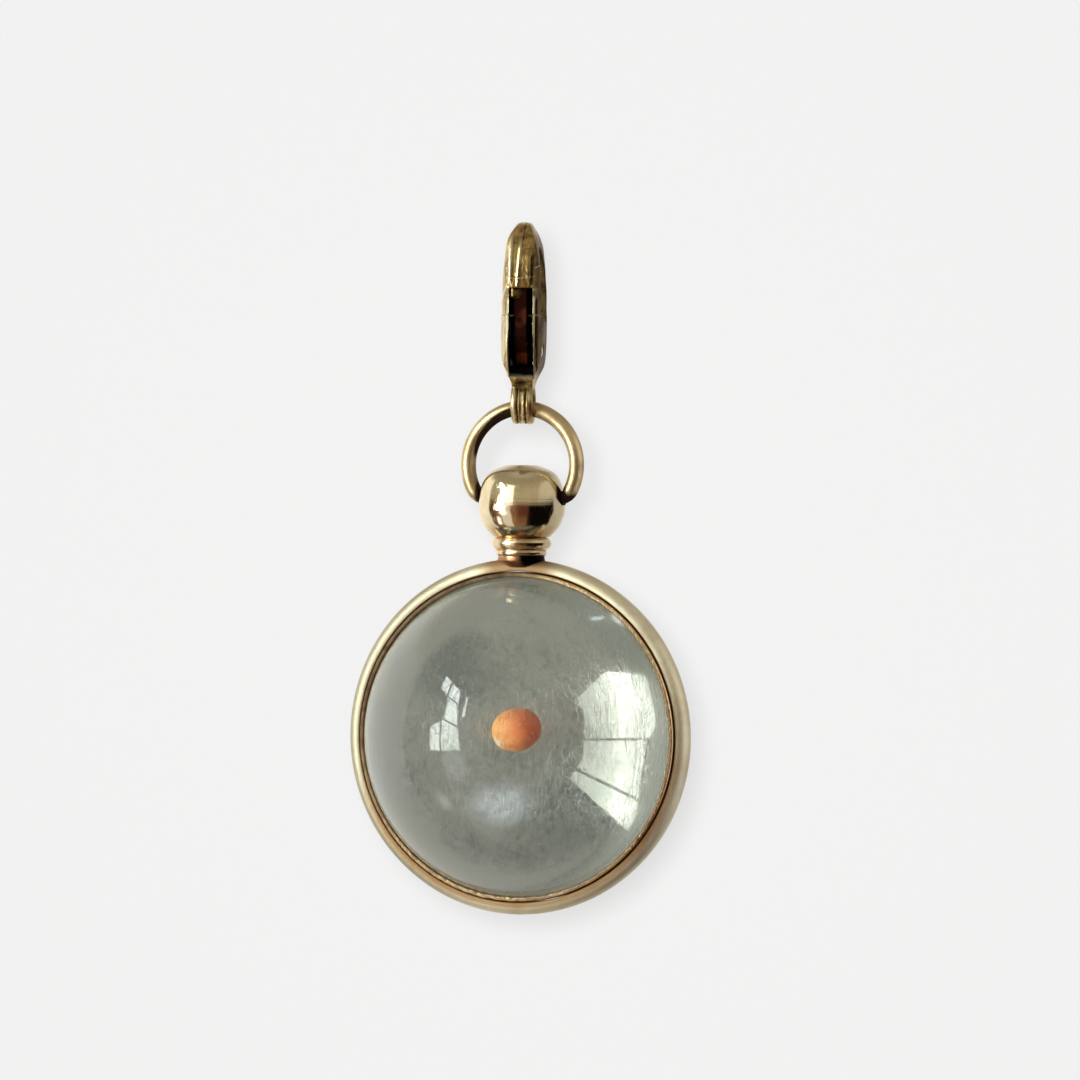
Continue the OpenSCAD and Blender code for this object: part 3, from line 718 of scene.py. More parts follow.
# The recess and the arm below the head are painted very dark red-brown: red tarnish, darkened as painted
# shade.
below_head = ramp(height, gate_foot - 0.1, gate_foot - 0.25) * ramp(depth, 2.6, 2.2)
gap_sides = np.maximum(ramp(across, 0.36, 0.42), ramp(across, -0.30, -0.36)) * below_head
reddened = (in_recess * (1 - proud) + below_head) * ramp(depth, 2.9, 2.4)
blotches = np.maximum(0, 1.5 * noise_at(points, 1.3, 5.0) + 0.5 * pits)
lower_arm = ramp(height, -6.9, -7.5) * (0.4 + 1.2 * np.maximum(0, pits)) + blotches
off_pad = 1 - np.clip(left_pad * 2.5, 0, 1)
finish_mesh(
    lever_mesh, turned(points, -clasp_turn),
    # The right-facing flank is painted darker brown as shade.
    aged=0.85 * ramp(normals[:, 0], 0.35, 0.8) * ramp(across, 0.7, 1.1),
    # The nose lines, the lips and the upward faces of the joint are painted bright as highlights.
    rubbed=relief_rubbed + left_lip + right_lip + 0.4 * joint_up, hollow=relief_dark + right_groove,
    red_film=reddened * off_pad, rubbed_red=lower_arm * ramp(np.abs(across), 0.45, 0.3) * reddened,
    # The gaps beside the arm are painted black as shade.
    black_gap=(beside_arm + gap_sides) * off_pad,
)
red_layers = (("red_film", red_film, 0.0), ("rubbed_red", rubbed_red, 0.0))
lever_brass = metal_material("lever_brass", layers=(*cast_layers, *red_layers, black_layer), **cast_brass)
lever_piece = link_piece("lever_cast", lever_mesh, lever_brass)
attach(lever_piece, "lever")
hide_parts("clasp_lever")


# Rivet.  A short brass pin through both cheeks; its ends are spread to low domes and rubbed bright.
def lathe(name, outline, sides, axis, ripple=None, weld=False):
    """Spins (along, radius) points in millimetres about an axis: Z goes up, Y goes to the back, X across.
    A radius of 0 makes a tip.  ripple(along, radius, angles) returns the radii round one ring, and weld
    joins the last ring to the first."""
    shape = bmesh.new()
    turn = {"Z": Matrix.Identity(3), "Y": Matrix(((1, 0, 0), (0, 0, 1), (0, 1, 0))),
            "X": Matrix(((0, 0, 1), (1, 0, 0), (0, 1, 0)))}[axis]
    angles = np.arange(sides) * 2 * pi / sides
    rings = []
    for along_axis, radius in outline + outline[:1] if weld else outline:
        if radius < 1e-6:
            rings.append([shape.verts.new(turn @ Vector((0, 0, along_axis)))])
            continue
        radii = np.full(sides, radius) if ripple is None else ripple(along_axis, radius, angles)
        ring = [turn @ Vector((r * cos(a), r * sin(a), along_axis)) for a, r in zip(angles, radii)]
        rings.append([shape.verts.new(spot) for spot in ring])
    for one, two in zip(rings, rings[1:]):
        for k in range(sides):
            m = (k + 1) % sides
            if len(one) == 1:
                shape.faces.new((one[0], two[m], two[k]))
            elif len(two) == 1:
                shape.faces.new((one[k], one[m], two[0]))
            else:
                shape.faces.new((one[k], one[m], two[m], two[k]))
    bmesh.ops.recalc_face_normals(shape, faces=shape.faces)
    if weld:
        bmesh.ops.remove_doubles(shape, verts=shape.verts, dist=1e-4)
    return mesh_from(shape, name)


rivet_radius, rivet_half, dome_rise = 0.45, 1.345, 0.09
rivet_line = [(-rivet_half, 0.0)]
for share in (0.3, 0.6, 0.85, 1.0):
    rivet_line.append((-rivet_half + dome_rise * share ** 3, rivet_radius * share))
rivet_line += [(-along_axis, radius) for along_axis, radius in reversed(rivet_line)]
rivet_mesh = lathe("rivet_pin", rivet_line, 40, "X")
points = mesh_vectors(rivet_mesh) + np.array([0, *lever_pivot])
finish_mesh(rivet_mesh, turned(points, -clasp_turn))
rivet_brass = metal_material(
    "rivet_brass", plain=(0.74, 0.60, 0.36), polished=(0.96, 0.88, 0.66), tarnished=(0.16, 0.09, 0.045),
    rough_low=0.18, rough_high=0.42, cloud_scale=1.6, tarnish=0.4, edge_polish=0.4, scratches=0.6,
)
rivet_piece = link_piece("rivet_pin", rivet_mesh, rivet_brass)
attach(rivet_piece, "clasp")
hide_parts("clasp_rivet")


# Bow.  Round brass wire bent to a ring whose two ends turn in to the knob's sides, where thin pegs
# let it swing.  It is drawn wire, polished, rubbed flat where the clasp's eye rides on it.  Its inner
# side, its ends by the knob and its right foot are painted dark as shade and dark reflection.
wire_radius, wire_sides, bow_radius, bow_top = 0.5, 36, 3.78, -10.69
bend_radius, bend_start, bend_steps, round_steps = 0.9, radians(25), 14, 120
bow_middle = bow_top - bow_radius
bend_across = (bow_radius - bend_radius) * cos(bend_start)
bend_middle = bow_middle - (bow_radius - bend_radius) * sin(bend_start)
knob_pivot = bend_middle - bend_radius
end_reach, peg_radius, peg_inner, peg_outer, peg_sides = 3.02, 0.40, 2.3, 3.1, 28
worn_depth, worn_reach = 0.035, 0.7


def arc(across, up, radius, start, sweep, steps, numbers):
    """Points of an arc, each with the angle at which it lies."""
    angles = [start - sweep * k / steps for k in numbers]
    return [(across + radius * cos(angle), up + radius * sin(angle), angle) for angle in angles]


def skin_over(shape, rings):
    """Faces from each ring of points to the next, and over both ends."""
    for one, two in zip(rings, rings[1:]):
        for k in range(len(one)):
            m = (k + 1) % len(one)
            shape.faces.new((one[k], one[m], two[m], two[k]))
    shape.faces.new(rings[0][::-1])
    shape.faces.new(rings[-1])


bend_sweep = pi / 2 - bend_start
bow_line = arc(-bend_across, bend_middle, bend_radius, 1.5 * pi, bend_sweep, bend_steps, range(bend_steps))
bow_line += arc(
    0, bow_middle, bow_radius, pi + bend_start, pi + 2 * bend_start, round_steps, range(round_steps + 1)
)
bow_line += arc(
    bend_across, bend_middle, bend_radius, -bend_start, bend_sweep, bend_steps, range(1, bend_steps + 1)
)
shape = bmesh.new()
pivot = Vector((0, 0, knob_pivot))
rings = []
for x, z, bow_angle in bow_line:
    outward = Vector((cos(bow_angle), 0, sin(bow_angle)))
    worn = worn_depth * exp(-((x / worn_reach) ** 2)) * (z > bow_middle)
    ring = []
    for s in range(wire_sides):
        angle = 2 * pi * s / wire_sides
        radius = wire_radius - worn * max(0.0, -cos(angle)) ** 3
        radius += 0.008 * noise.noise(Vector((x * 0.8, z * 0.8, angle)))
        spot = Vector((x, 0, z)) + outward * radius * cos(angle) + Vector((0, radius * sin(angle), 0))
        from_pivot = spot - pivot
        if from_pivot.length < end_reach:
            spot = pivot + from_pivot.normalized() * end_reach
        ring.append(shape.verts.new(spot))
    rings.append(ring)
skin_over(shape, rings)
for side in (-1, 1):
    skin_over(shape, [[
        shape.verts.new((side * x, peg_radius * cos(angle), knob_pivot + peg_radius * sin(angle)))
        for angle in (2 * pi * s / peg_sides for s in range(peg_sides))
    ] for x in (peg_inner, peg_outer)])
bmesh.ops.recalc_face_normals(shape, faces=shape.faces)
bow_mesh = mesh_from(shape, "bow_wire")
points = mesh_vectors(bow_mesh)
inward = bow_radius - np.hypot(points[:, 0], points[:, 2] - bow_middle)
from_top = np.degrees(np.arctan2(-points[:, 0], points[:, 2] - bow_middle))
soot_line = np.where(from_top > 0, -0.20 + 0.0072 * from_top, -0.05 - 0.03 * from_top)
inner_soot = ramp(inward - soot_line, -0.04, 0.08) * span(np.abs(from_top), 2, 5, 70, 88)
by_knob = ramp(end_reach + 0.35 - np.hypot(points[:, 0], points[:, 2] - knob_pivot), 0.0, 0.3)
right_foot = ramp(points[:, 0], 2.6, 2.9) * ramp(points[:, 2], -16.2, -16.6)
# The inner side, the ends by the knob and the right foot are painted dark as shade and dark reflection.
finish_mesh(bow_mesh, points, hollow=0.35 * ramp(inward, 0.2, 0.4) + inner_soot + 0.9 * by_knob + right_foot)
wire_soot = (0.030, 0.015, 0.008)
bow_brass = metal_material(
    "bow_brass", plain=(0.74, 0.58, 0.33), polished=(0.95, 0.84, 0.58), tarnished=(0.15, 0.075, 0.032),
    rough_low=0.36, rough_high=0.52, cloud_scale=0.40, tarnish=0.45, edge_polish=0.2, scratches=0.35,
    relief=0.35, layers=(("hollow", wire_soot, 0.10),),
)
bow_piece = link_piece("bow_wire", bow_mesh, bow_brass)
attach(bow_piece, "bow")
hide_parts("bow")
right_box_lights.objects.link(bow_piece)


# Knob.  Turned from solid brass on a lathe and plated pale gold.  It is nearly a mirror under a thin
# film at its top, with the fine rings that the tool left and a few deeper ones at its widest place.
lines_group, given, made = effect_group("turning_lines", ("Height",), Place=0.0, Lines_Per_Mm=6.0)
line_place = product(given["Place"], given["Lines Per Mm"])
line_sum = None
for times, share in ((1.0, 0.6), (3.1, 0.4)):
    rings_noise = new_node(lines_group, "TexNoise", noise_dimensions="1D")
    part = product(feed(rings_noise, W=line_place, Scale=times, Detail=2.0).outputs["Fac"], share)
    line_sum = part if line_sum is None else number("ADD", line_sum, part)
feed(made, Height=line_sum)


def parts_in_mm(tree):
    """The three parts of the place on the charm in millimetres."""
    return feed(new_node(tree, "SeparateXYZ"), Vector=place_in_mm(tree)).outputs


def lines_up_the_knob(tree):
    return placed_group(tree, lines_group, Lines_Per_Mm=9.0, Place=parts_in_mm(tree)["Z"])["Height"]


def through_points(rows, steps):
    """A smooth line through all the rows of an outline."""
    line = []
    for i in range(len(rows) - 1):
        a, b = np.array(rows[max(i - 1, 0)]), np.array(rows[i])
        c, d = np.array(rows[i + 1]), np.array(rows[min(i + 2, len(rows) - 1)])
        for k in range(steps):
            t = k / steps
            line.append(0.5 * (2 * b + (c - a) * t + (2 * a - 5 * b + 4 * c - d) * t * t
                               + (3 * b - a - 3 * c + d) * t ** 3))
    line.append(np.array(rows[-1]))
    return line


knob_top, knob_height, pit_depth, pit_radius = -14.5, 4.77, 0.95, 0.28
knob_line = [
    (0.00, 1.00), (0.17, 1.50), (0.45, 2.10), (0.90, 2.50), (1.50, 2.74), (2.30, 2.87), (3.05, 2.90),
    (3.65, 2.73), (4.20, 2.45), (knob_height, 1.90),
]
tool_rings = ((2.60, 0.0016, 0.035), (2.72, 0.0012, 0.03), (2.92, 0.002, 0.04), (3.12, 0.0015, 0.03))
outline = [
    (knob_top - pit_depth, 0.0), (knob_top - pit_depth, pit_radius), (knob_top - 0.03, pit_radius + 0.02),
    (knob_top, pit_radius + 0.06),
]
for down, radius in through_points(knob_line, 14):
    for ring_down, ring_depth, ring_width in tool_rings:
        radius -= ring_depth * exp(-(((down - ring_down) / ring_width) ** 2))
    outline.append((knob_top - down, radius))
outline.append((knob_top - knob_height, 0.0))
knob_mesh = lathe("knob_turned", outline, 160, "Z")
points = mesh_vectors(knob_mesh)
copper_from, copper_to, film_from, film_to, pit_across = 18.3, 19.2, -15.7, -14.9, 0.25
# The lowest part of the knob is painted copper as a reflection of the neck and band below.
low_copper = ramp(-points[:, 2], copper_from, copper_to) * 0.55
top_pit = ridge(points[:, 0] - pit_across, 0.22) * ridge(points[:, 2] - knob_top + 0.12, 0.12)
top_pit = top_pit * (points[:, 1] < 0)
finish_mesh(
    knob_mesh, points, hollow=low_copper + top_pit, film=0.8 * ramp(points[:, 2], film_from, film_to)
)
dull_film, pale_copper, solder_copper = (0.66, 0.57, 0.40), (0.50, 0.25, 0.11), (0.40, 0.17, 0.075)
knob_gold = metal_material(
    "knob_gold", plain=(0.87, 0.76, 0.52), polished=(0.97, 0.92, 0.76), tarnished=(0.52, 0.27, 0.12),
    rough_low=0.045, rough_high=0.28, cloud_scale=0.35, tarnish=0.20, edge_polish=0.3, scratches=0.30,
    relief=0.30, layers=(("film", dull_film, 0.95), ("hollow", pale_copper, 1.0)),
    lines=lines_up_the_knob,
)
knob_piece = link_piece("knob_turned", knob_mesh, knob_gold)
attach(knob_piece, "pendant")
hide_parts("case")
front_box_lights.objects.link(knob_piece)


# Neck.  A rounded bead and a short waist, turned in one with the knob, then a foot that is soldered
# to the top of the band.  The solder has drawn a coppery stain round the foot.  A thin dark ring under
# the bead is painted shade, and the right of the foot is painted black as shade.
bead_middle, bead_outer, bead_half, bead_steps = -19.71, 2.0, 0.44, 18
band_middle, band_outer = -32.59, 11.85
band_top = band_middle + band_outer
inside_knob = knob_top - knob_height + 0.15
outline = [(inside_knob, 0.0), (inside_knob, 1.55)]
for k in range(bead_steps + 1):
    angle = radians(80 - 160 * k / bead_steps)
    outline.append((bead_middle + bead_half * sin(angle), bead_outer - bead_half + bead_half * cos(angle)))
waist_line = (
    (-20.14, 1.66), (-20.24, 1.69), (-20.38, 1.70), (-20.47, 1.66), (-20.55, 1.56), (-20.70, 1.56),
    (-20.84, 1.60),
)
outline += [(height, radius) for height, radius in through_points(waist_line, 6)]
outline += [(band_top - 0.30, 1.30), (band_top - 0.55, 0.95), (band_top - 0.55, 0.0)]
neck_mesh = lathe("neck_turned", outline, 128, "Z")
points = mesh_vectors(neck_mesh)
stain_from, stain_to, soot_from, soot_to, under_bead = 20.35, 20.75, 20.42, 20.56, 20.16
# A thin ring just under the bead is painted dark as shade, over the solder stain.
stain = ramp(-points[:, 2], stain_from, stain_to) * 0.9 + 0.5 * ridge(points[:, 2] + under_bead, 0.06)
# The right of the foot is painted black as shade.
soot = ramp(-points[:, 2], soot_from, soot_to) * ramp(points[:, 0], -0.1, 0.6)
finish_mesh(neck_mesh, points, hollow=stain, soot=soot)
neck_gold = metal_material(
    "neck_gold", plain=(0.85, 0.70, 0.45), polished=(0.97, 0.90, 0.72), tarnished=(0.42, 0.19, 0.085),
    rough_low=0.10, rough_high=0.36, cloud_scale=0.8, tarnish=0.35, edge_polish=0.4, scratches=0.35,
    layers=(("hollow", solder_copper, 0.9), ("soot", black_dirt, 0.0)), lines=lines_up_the_knob,
)
neck_piece = link_piece("neck_turned", neck_mesh, neck_gold)
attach(neck_piece, "pendant")
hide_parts("case")
front_box_lights.objects.link(neck_piece)


# Band.  A ring of thick half-round wire closed at the neck, plated pale gold.  Handling has left it
# satin, with nicks, faint flats and clouds of copper and a stain by the solder.  Its left side is
# painted darker as shade, its bore is painted dark as shade, and it is darker along the inner edge
# of its lower half.
def distance(one, two):
    return number("SQRT", number("ADD", product(one, one), product(two, two)))


def lines_round_the_disc(tree):
    parts = parts_in_mm(tree)
    from_middle = distance(number("ADD", parts["Z"], -band_middle), parts["X"])
    along_section = number("ADD", from_middle, parts["Y"])
    return placed_group(tree, lines_group, Lines_Per_Mm=11.0, Place=along_section)["Height"]


band_round, band_half, band_bore, section_steps, bore_steps = 0.66, 0.78, 11.02, 24, 8
section_middle = band_outer - band_round
section_y = band_half - band_round
bore_angle = acos((band_bore - section_middle) / band_round)
section = []
for side, start in ((-1, -bore_angle), (1, 0.0)):
    for k in range(section_steps + 1):
        angle = start + bore_angle * k / section_steps
        section.append((side * section_y + band_round * sin(angle), section_middle + band_round * cos(angle)))
bore_edge = section[-1][0]
section += [(y, band_bore) for y in np.linspace(bore_edge, -bore_edge, bore_steps + 1)[1:]]
nicks = (
    (52, -0.70, 0.05), (47, -0.62, 0.04), (39, -0.74, 0.05), (57, -0.55, 0.03), (-128, -0.70, 0.05),
    (-120, -0.60, 0.04), (-112, -0.74, 0.04), (-100, -0.50, 0.03), (-60, -0.40, 0.03), (150, -0.66, 0.03),
    (12, 0.62, 0.04), (205, 0.55, 0.04), (250, 0.70, 0.05),
)
nick_long, nick_wide, wavy_by = 0.16, 0.14, 0.012


def gap_round(angles, degrees_round):
    """The angles from a place on the ring, from -180 to 180 degrees in radians."""
    return np.angle(np.exp(1j * (angles - radians(degrees_round))))


def ring_noise(angles, turns, height):
    """Noise round a ring, the same where its ends meet."""
    return np.array([noise.noise(Vector((turns * cos(a), turns * sin(a), height))) for a in angles])


def worn_round(along_axis, radius, angles):
    """Radii round one ring of the band, with its slow waviness and its nicks."""
    radii = np.full(len(angles), radius)
    if radius < band_bore + 0.01:
        return radii
    radii = radii - wavy_by * (ring_noise(angles, 3, along_axis * 0.6) + 0.5) * (radius - band_bore)
    for degrees_round, y, size in nicks:
        gap = gap_round(angles, degrees_round) * radius
        radii = radii - size * np.exp(-((gap / nick_long) ** 2 + ((along_axis - y) / nick_wide) ** 2))
    return radii


def round_disc(points):
    """The radius and the angle in degrees of each point about the middle of the disc."""
    rise = points[:, 2] - band_middle
    return np.hypot(points[:, 0], rise), np.degrees(np.arctan2(rise, points[:, 0]))


band_mesh = lathe("band_ring", section, 540, "Y", ripple=worn_round, weld=True)
points = mesh_vectors(band_mesh)
points[:, 2] += band_middle
around, degrees_round = round_disc(points)
solder_stain = ramp(np.hypot(points[:, 0], points[:, 2] - band_top), 3.4, 1.7) * 0.9
# Darker along the inner edge of the lower half; the bore is painted dark as shade.
low_inner = 0.90 * ramp(around, 11.50, 11.25) * span(degrees_round, -175, -140, -40, 20)
bore_dark = ramp(around, 11.12, 11.04)
finish_mesh(
    # The left side is painted darker as shade.
    band_mesh, points, dulled=ramp(-points[:, 0], 2.0, 8.0), hollow=solder_stain + low_inner + bore_dark,
)
dulled_gold, clouded_copper = (0.50, 0.45, 0.335), (0.42, 0.25, 0.12)
band_gold = metal_material(
    "band_gold", plain=(0.86, 0.80, 0.61), polished=(0.97, 0.93, 0.80), tarnished=(0.53, 0.40, 0.24),
    rough_low=0.50, rough_high=0.62, cloud_scale=0.28, tarnish=0.35, edge_polish=0.35, scratches=0.6,
    relief=0.6, layers=(("dulled", dulled_gold, 1.0), ("hollow", clouded_copper, 0.9)),
    lines=lines_round_the_disc,
)
band_piece = link_piece("band_ring", band_mesh, band_gold)
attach(band_piece, "pendant")
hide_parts("case")
right_box_lights.objects.link(band_piece)


# Bezel.  A thin coppery ring let into the band, whose lips were pressed over the edge of the glass
# with a hand tool.  The front lip carries a painted highlight to the right and painted shade on the
# left, is dark in its groove, and is rough below.
girdle_clear, bezel_outer, lip_outer = 10.76, 10.98, 10.93
bezel_half, step_y, front_inner, back_inner = 0.97, 0.42, 10.634, 10.45
front_y, back_y, lip_round = -bezel_half, bezel_half, 0.03
bezel_section = [
    (-0.477, girdle_clear), (-0.72, 10.70), (front_y + lip_round, front_inner + 0.01),
    (front_y, front_inner + 0.05), (front_y, front_inner + 0.10), (front_y, lip_outer - 0.06),
    (front_y + lip_round, lip_outer - 0.02), (front_y + 0.10, lip_outer), (-0.70, lip_outer),
    (-step_y, lip_outer), (-step_y, bezel_outer), (0.0, bezel_outer), (step_y, bezel_outer),
    (step_y, lip_outer), (0.70, lip_outer), (back_y - 0.10, lip_outer),
    (back_y - lip_round, lip_outer - 0.02), (back_y, lip_outer - 0.06), (back_y, 10.62), (back_y, 10.50),
    (back_y - lip_round, back_inner), (0.66, back_inner), (0.56, girdle_clear),
]
roughest_at, nicked_at = -95, 48


def pressed_lip(along_axis, radius, angles):
    """Radii of one ring of the bezel: its front lip is uneven, most of all low down and at its nicks."""
    radii = np.full(len(angles), radius)
    if along_axis > -0.6 or radius > lip_outer - 0.01:
        return radii
    uneven = 0.25 + ridge(gap_round(angles, roughest_at), 0.75)
    uneven = uneven + 0.8 * ridge(gap_round(angles, nicked_at), 0.20)
    return radii + uneven * (0.035 * ring_noise(angles, 26, 1.7) + 0.03 * ring_noise(angles, 90, 4.2) + 0.012)


bezel_mesh = lathe("bezel_lip", bezel_section, 720, "Y", ripple=pressed_lip, weld=True)
points = mesh_vectors(bezel_mesh)
crumple = np.abs(noise_at(points, 3.3) + 0.6 * noise_at(points, 8.0))
points[:, 2] += band_middle
around, degrees_round = round_disc(points)
low_share = ridge(degrees_round - roughest_at, 55)
points[:, 1] += ramp(-points[:, 1], 0.72, 0.9) * (0.02 + 0.05 * low_share) * crumple
# The lip is painted bright to the right as a highlight, and painted darker on the left as shade.
bright_side = ridge(degrees_round - 5, 48)
in_groove = ramp(around, lip_outer - 0.02, lip_outer) * ramp(points[:, 1], -0.93, -0.8)
left_dark = 0.85 * (1 - span(degrees_round, -60, -20, 60, 95)) * (1 - 0.6 * low_share)
lit_lip = bright_side * ramp(lip_outer + 0.01 - around, 0.0, 0.05) * ramp(-points[:, 1], 0.75, 0.9)
finish_mesh(bezel_mesh, points, rubbed=1.3 * lit_lip, hollow=in_groove + left_dark - 1.2 * lit_lip)
rubbed_copper, groove_dirt = (0.95, 0.74, 0.46), (0.075, 0.040, 0.022)
bezel_copper = metal_material(
    "bezel_copper", plain=(0.82, 0.56, 0.30), polished=(0.96, 0.80, 0.52), tarnished=(0.10, 0.052, 0.026),
    rough_low=0.24, rough_high=0.55, cloud_scale=1.1, tarnish=0.38, edge_polish=0.5, scratches=0.5,
    relief=0.8, layers=(("rubbed", rubbed_copper, 1.0), ("hollow", groove_dirt, 0.15)),
)
bezel_piece = link_piece("bezel_lip", bezel_mesh, bezel_copper)
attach(bezel_piece, "pendant")
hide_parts("bezel")
right_box_lights.objects.link(bezel_piece)


# Seed.  One small amber seed cast into the glass.  Its dry coat is finely wrinkled and pitted, with
# pale specks and a pale scar where it joined its stalk.  Its left end is painted paler as light and its
# right end redder and darker, partly its own colour and partly painted shade, and it glows faintly as
# painted light.
seed_length, seed_width, seed_tilt, seed_rise = 2.6, 2.1, radians(15), 0.33
scar_place, scar_reach = Vector((-0.93, -0.30, -0.2)), 0.16
shape = bmesh.new()
bmesh.ops.create_icosphere(shape, subdivisions=5, radius=1.0)
for vert in shape.verts:
    p = vert.co.copy()
    wrinkle = 0.030 * noise.noise(p * 3.1) + 0.018 * noise.noise(p * 7.5) + 0.008 * noise.noise(p * 19.0)
    furrow = -0.035 * exp(-((p.z - 0.12 + 0.18 * p.x) / 0.10) ** 2) * max(0.0, -p.y)
    scar = -0.05 * exp(-((p - scar_place).length / scar_reach) ** 2)
    swelling = 1.0 + wrinkle + furrow + scar
    longer = seed_length / 2 * (1 + 0.04 * p.x)
    vert.co = Vector((p.x * longer, p.y * seed_width / 2, p.z * seed_width / 2)) * swelling
seed_mesh = mesh_from(shape, "seed_coat")
points = mesh_vectors(seed_mesh)
points *= np.minimum(1.0, np.array([seed_length, seed_width, seed_width]) / 2 / np.abs(points).max(axis=0))
x, y, z = points.T
tilted = np.column_stack((
    x * cos(seed_tilt) - z * sin(seed_tilt), y,
    x * sin(seed_tilt) + z * cos(seed_tilt) + band_middle + seed_rise,
))
scar_tone = ridge(x + 0.95, 0.24) * ridge(z + 0.42, 0.2) * (y < 0)
finish_mesh(seed_mesh, tilted, right_end=ramp(x, -0.9, 1.1), scar=scar_tone)

seed_coat = bpy.data.materials.new("seed_coat")
tree = empty_tree(seed_coat)
place = place_in_mm(tree)
mottle, pores = cloudy(place, 1.6, 5.0, 0.65), cloudy(place, 7.0, 3.0, 0.6)
to_red = new_node(tree, "Attribute", attribute_name="right_end").outputs["Fac"]
to_scar = new_node(tree, "Attribute", attribute_name="scar").outputs["Fac"]
left_amber, right_amber, dark_mottle, pale_speck, pale_scar = (
    (1.0, 0.48, 0.155), (0.92, 0.145, 0.030), (0.72, 0.12, 0.022), (1.0, 0.62, 0.30), (0.98, 0.85, 0.68)
)
# Paler amber at the left is painted light; the redder, darker right is partly its own colour and partly
# painted shade.
amber = mixed(to_red, left_amber, right_amber)
amber = mixed(between(mottle, 0.42, 0.70, 0.0, 0.6), amber, dark_mottle)
amber = mixed(between(pores, 0.60, 0.70, 0.0, 0.55), amber, pale_speck)
amber = mixed(to_scar, amber, pale_scar)
# The faint glow is painted light.
surface = feed(
    new_node(tree, "BsdfPrincipled"), Base_Color=amber, Emission_Color=amber, Emission_Strength=0.15,
    Roughness=between(mottle, 0.3, 0.7, 0.42, 0.62), Normal=bump_map(pores, 0.6, 0.03),
)
feed(new_node(tree, "OutputMaterial"), Surface=surface.outputs[0])
seed_piece = link_piece("seed_coat", seed_mesh, seed_coat)
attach(seed_piece, "pendant")
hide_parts("seed")


# Glass.  One thick piece of grey-green glass, ground to a high dome in front and a shallow one
# behind, with the seed in the middle of it.  Its faces carry hairline scratches and dust.  A cloudy
# bluish disc, denser in places and with faint streaks from under the seed, is painted into the tint
# near its back as the view of a grey surface behind the glass.
front_dome, back_dome, front_steps, back_steps = 11.0, 36.0, 120, 60
glass_edge, front_edge, back_edge, girdle = 10.6, 0.95, 0.55, 10.72
front_middle = sqrt(front_dome ** 2 - glass_edge ** 2) - front_edge
back_middle = sqrt(back_dome ** 2 - glass_edge ** 2) - back_edge
outline = []
for k in range(front_steps + 1):
    angle = asin(girdle / front_dome) * k / front_steps
    outline.append((front_middle - front_dome * cos(angle), front_dome * sin(angle)))
for k in range(back_steps + 1):
    angle = asin(girdle / back_dome) * (1 - k / back_steps)
    outline.append((-back_middle + back_dome * cos(angle), back_dome * sin(angle)))
glass_mesh = lathe("glass_domes", outline, 320, "Y")
points = mesh_vectors(glass_mesh)
points[:, 2] += band_middle
finish_mesh(glass_mesh, points)

grey_glass = bpy.data.materials.new("grey_green_glass")
tree = empty_tree(grey_glass)
place = place_in_mm(tree)
parts = feed(new_node(tree, "SeparateXYZ"), Vector=place).outputs
scratch = placed_group(tree, scratch_group, Scratch_Scale=0.5, Scratch_Amount=1.0)["Scratch"]
rise = number("ADD", parts["Z"], -band_middle)
from_middle = distance(rise, parts["X"])
streak_place = feed(
    new_node(tree, "CombineXYZ"), X=product(number("ARCTAN2", rise, parts["X"]), 9.0),
    Y=product(from_middle, 0.35),
).outputs["Vector"]
streaks = between(cloudy(streak_place, 1.0, 3.0, 0.6), 0.45, 0.68)
lower_half = product(between(rise, 0.5, -2.5), between(from_middle, 1.2, 3.0))
haze, fine_haze = cloudy(place, 0.75, 8.0, 0.74, 0.25), cloudy(place, 3.0, 6.0, 0.80)
dust, soil = cloudy(place, 8.0, 2.0, 0.6), cloudy(place, 5.3, 3.0, 0.6)
slow_wave = cloudy(place, 0.35, 1.0, 0.4)


def from_spot(across_mm, up_mm):
    """How far a place is from a spot on the disc."""
    return distance(number("ADD", parts["X"], -across_mm), number("ADD", rise, -up_mm))


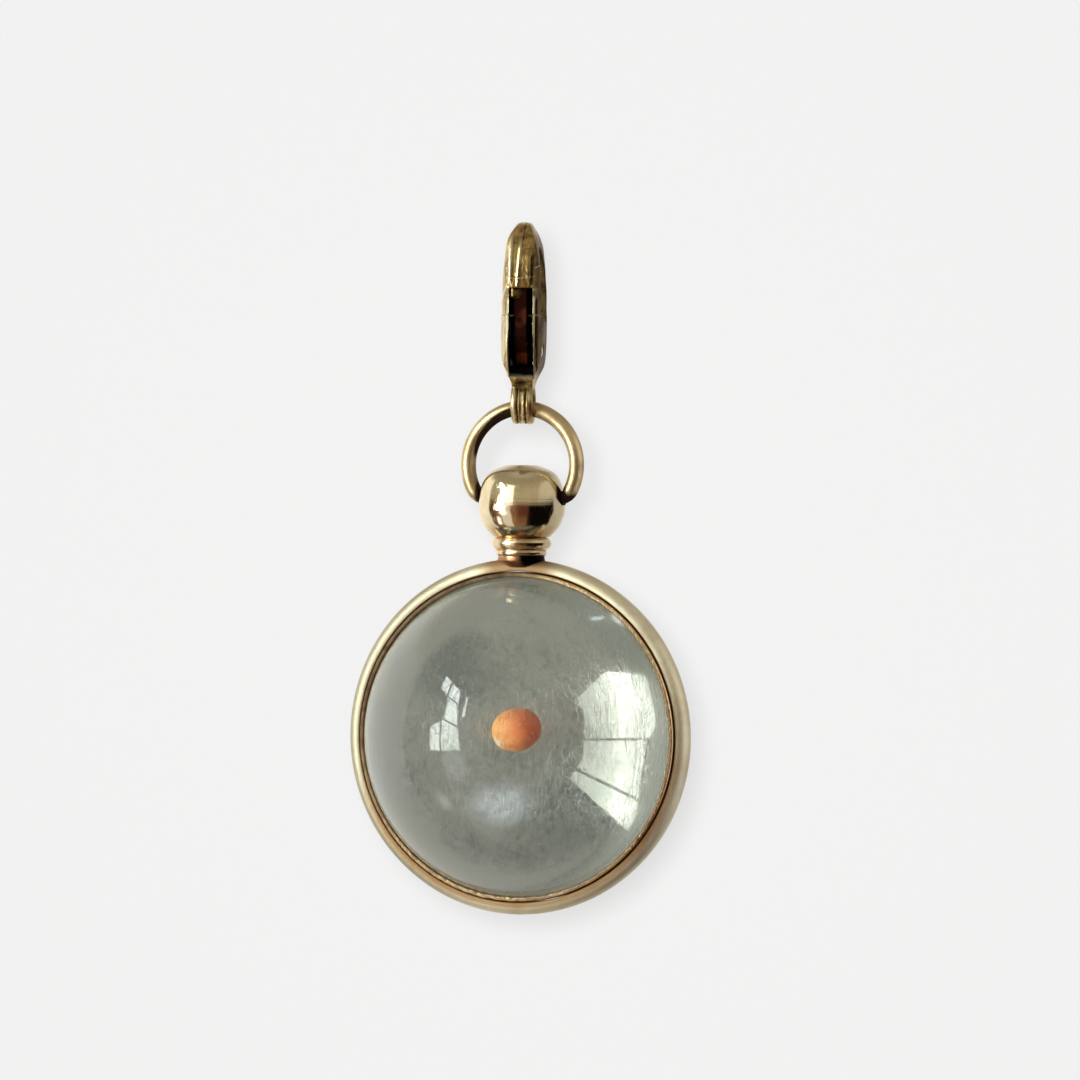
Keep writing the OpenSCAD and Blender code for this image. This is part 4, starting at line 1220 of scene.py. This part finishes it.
# A darker bluish mottled disc is painted into the back's tint as the view of a grey surface behind.
haze_share = product(between(haze, 0.43, 0.62), 0.42)
for across_mm, up_mm, reach_mm, share in (
    (-3.8, 3.0, 2.7, 0.85), (2.2, -4.0, 3.1, 0.52), (-3.3, -5.4, 2.0, 0.36), (-0.4, -6.2, 1.8, 0.36),
    (-2.8, -2.6, 1.8, -0.2),
):
    lobe = between(from_spot(across_mm, up_mm), reach_mm, reach_mm * 0.3)
    haze_share = times_plus(lobe, share, haze_share)
haze_share = times_plus(between(fine_haze, 0.45, 0.68), 0.30, haze_share)
haze_share = times_plus(product(streaks, lower_half), 0.26, haze_share, clamp=True)
haze_edge = times_plus(haze, 0.8, from_spot(0.4, -0.4))
behind = between(parts["Y"], 0.3, 0.6)
thin_haze, dense_haze, soil_spot, dust_spot = (
    (0.86, 0.865, 0.825), (0.26, 0.30, 0.335), (0.18, 0.20, 0.22), (1.0, 1.0, 1.0)
)
front_tint, back_tint, haze_radius = (0.97, 0.98, 0.96), (0.74, 0.755, 0.74), 6.95
tint = mixed(haze_share, thin_haze, dense_haze)
tint = mixed(product(between(soil, 0.36, 0.30), 0.5), tint, soil_spot)
tint = mixed(product(between(dust, 0.63, 0.69), 0.8), tint, dust_spot)
clear_glass = mixed(behind, front_tint, back_tint)
tint = mixed(product(behind, between(haze_edge, haze_radius, haze_radius - 0.5)), clear_glass, tint)
glass_height = times_plus(scratch, -0.9, product(slow_wave, 1.5))
glass_height = times_plus(between(dust, 0.66, 0.72), 1.0, glass_height)
surface = feed(
    new_node(tree, "BsdfPrincipled"), Transmission_Weight=0.96, IOR=1.5, Base_Color=tint,
    Roughness=times_plus(scratch, 0.22, 0.012), Normal=bump_map(glass_height, 0.35, 0.01),
)
body_colour, body_density = (0.42, 0.47, 0.40, 1), 60.0
body_tint = feed(new_node(tree, "VolumeAbsorption"), Color=body_colour, Density=body_density)
feed(new_node(tree, "OutputMaterial"), Surface=surface.outputs[0], Volume=body_tint.outputs[0])
glass_piece = link_piece("glass_domes", glass_mesh, grey_glass)
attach(glass_piece, "pendant")
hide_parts("glass_orb")
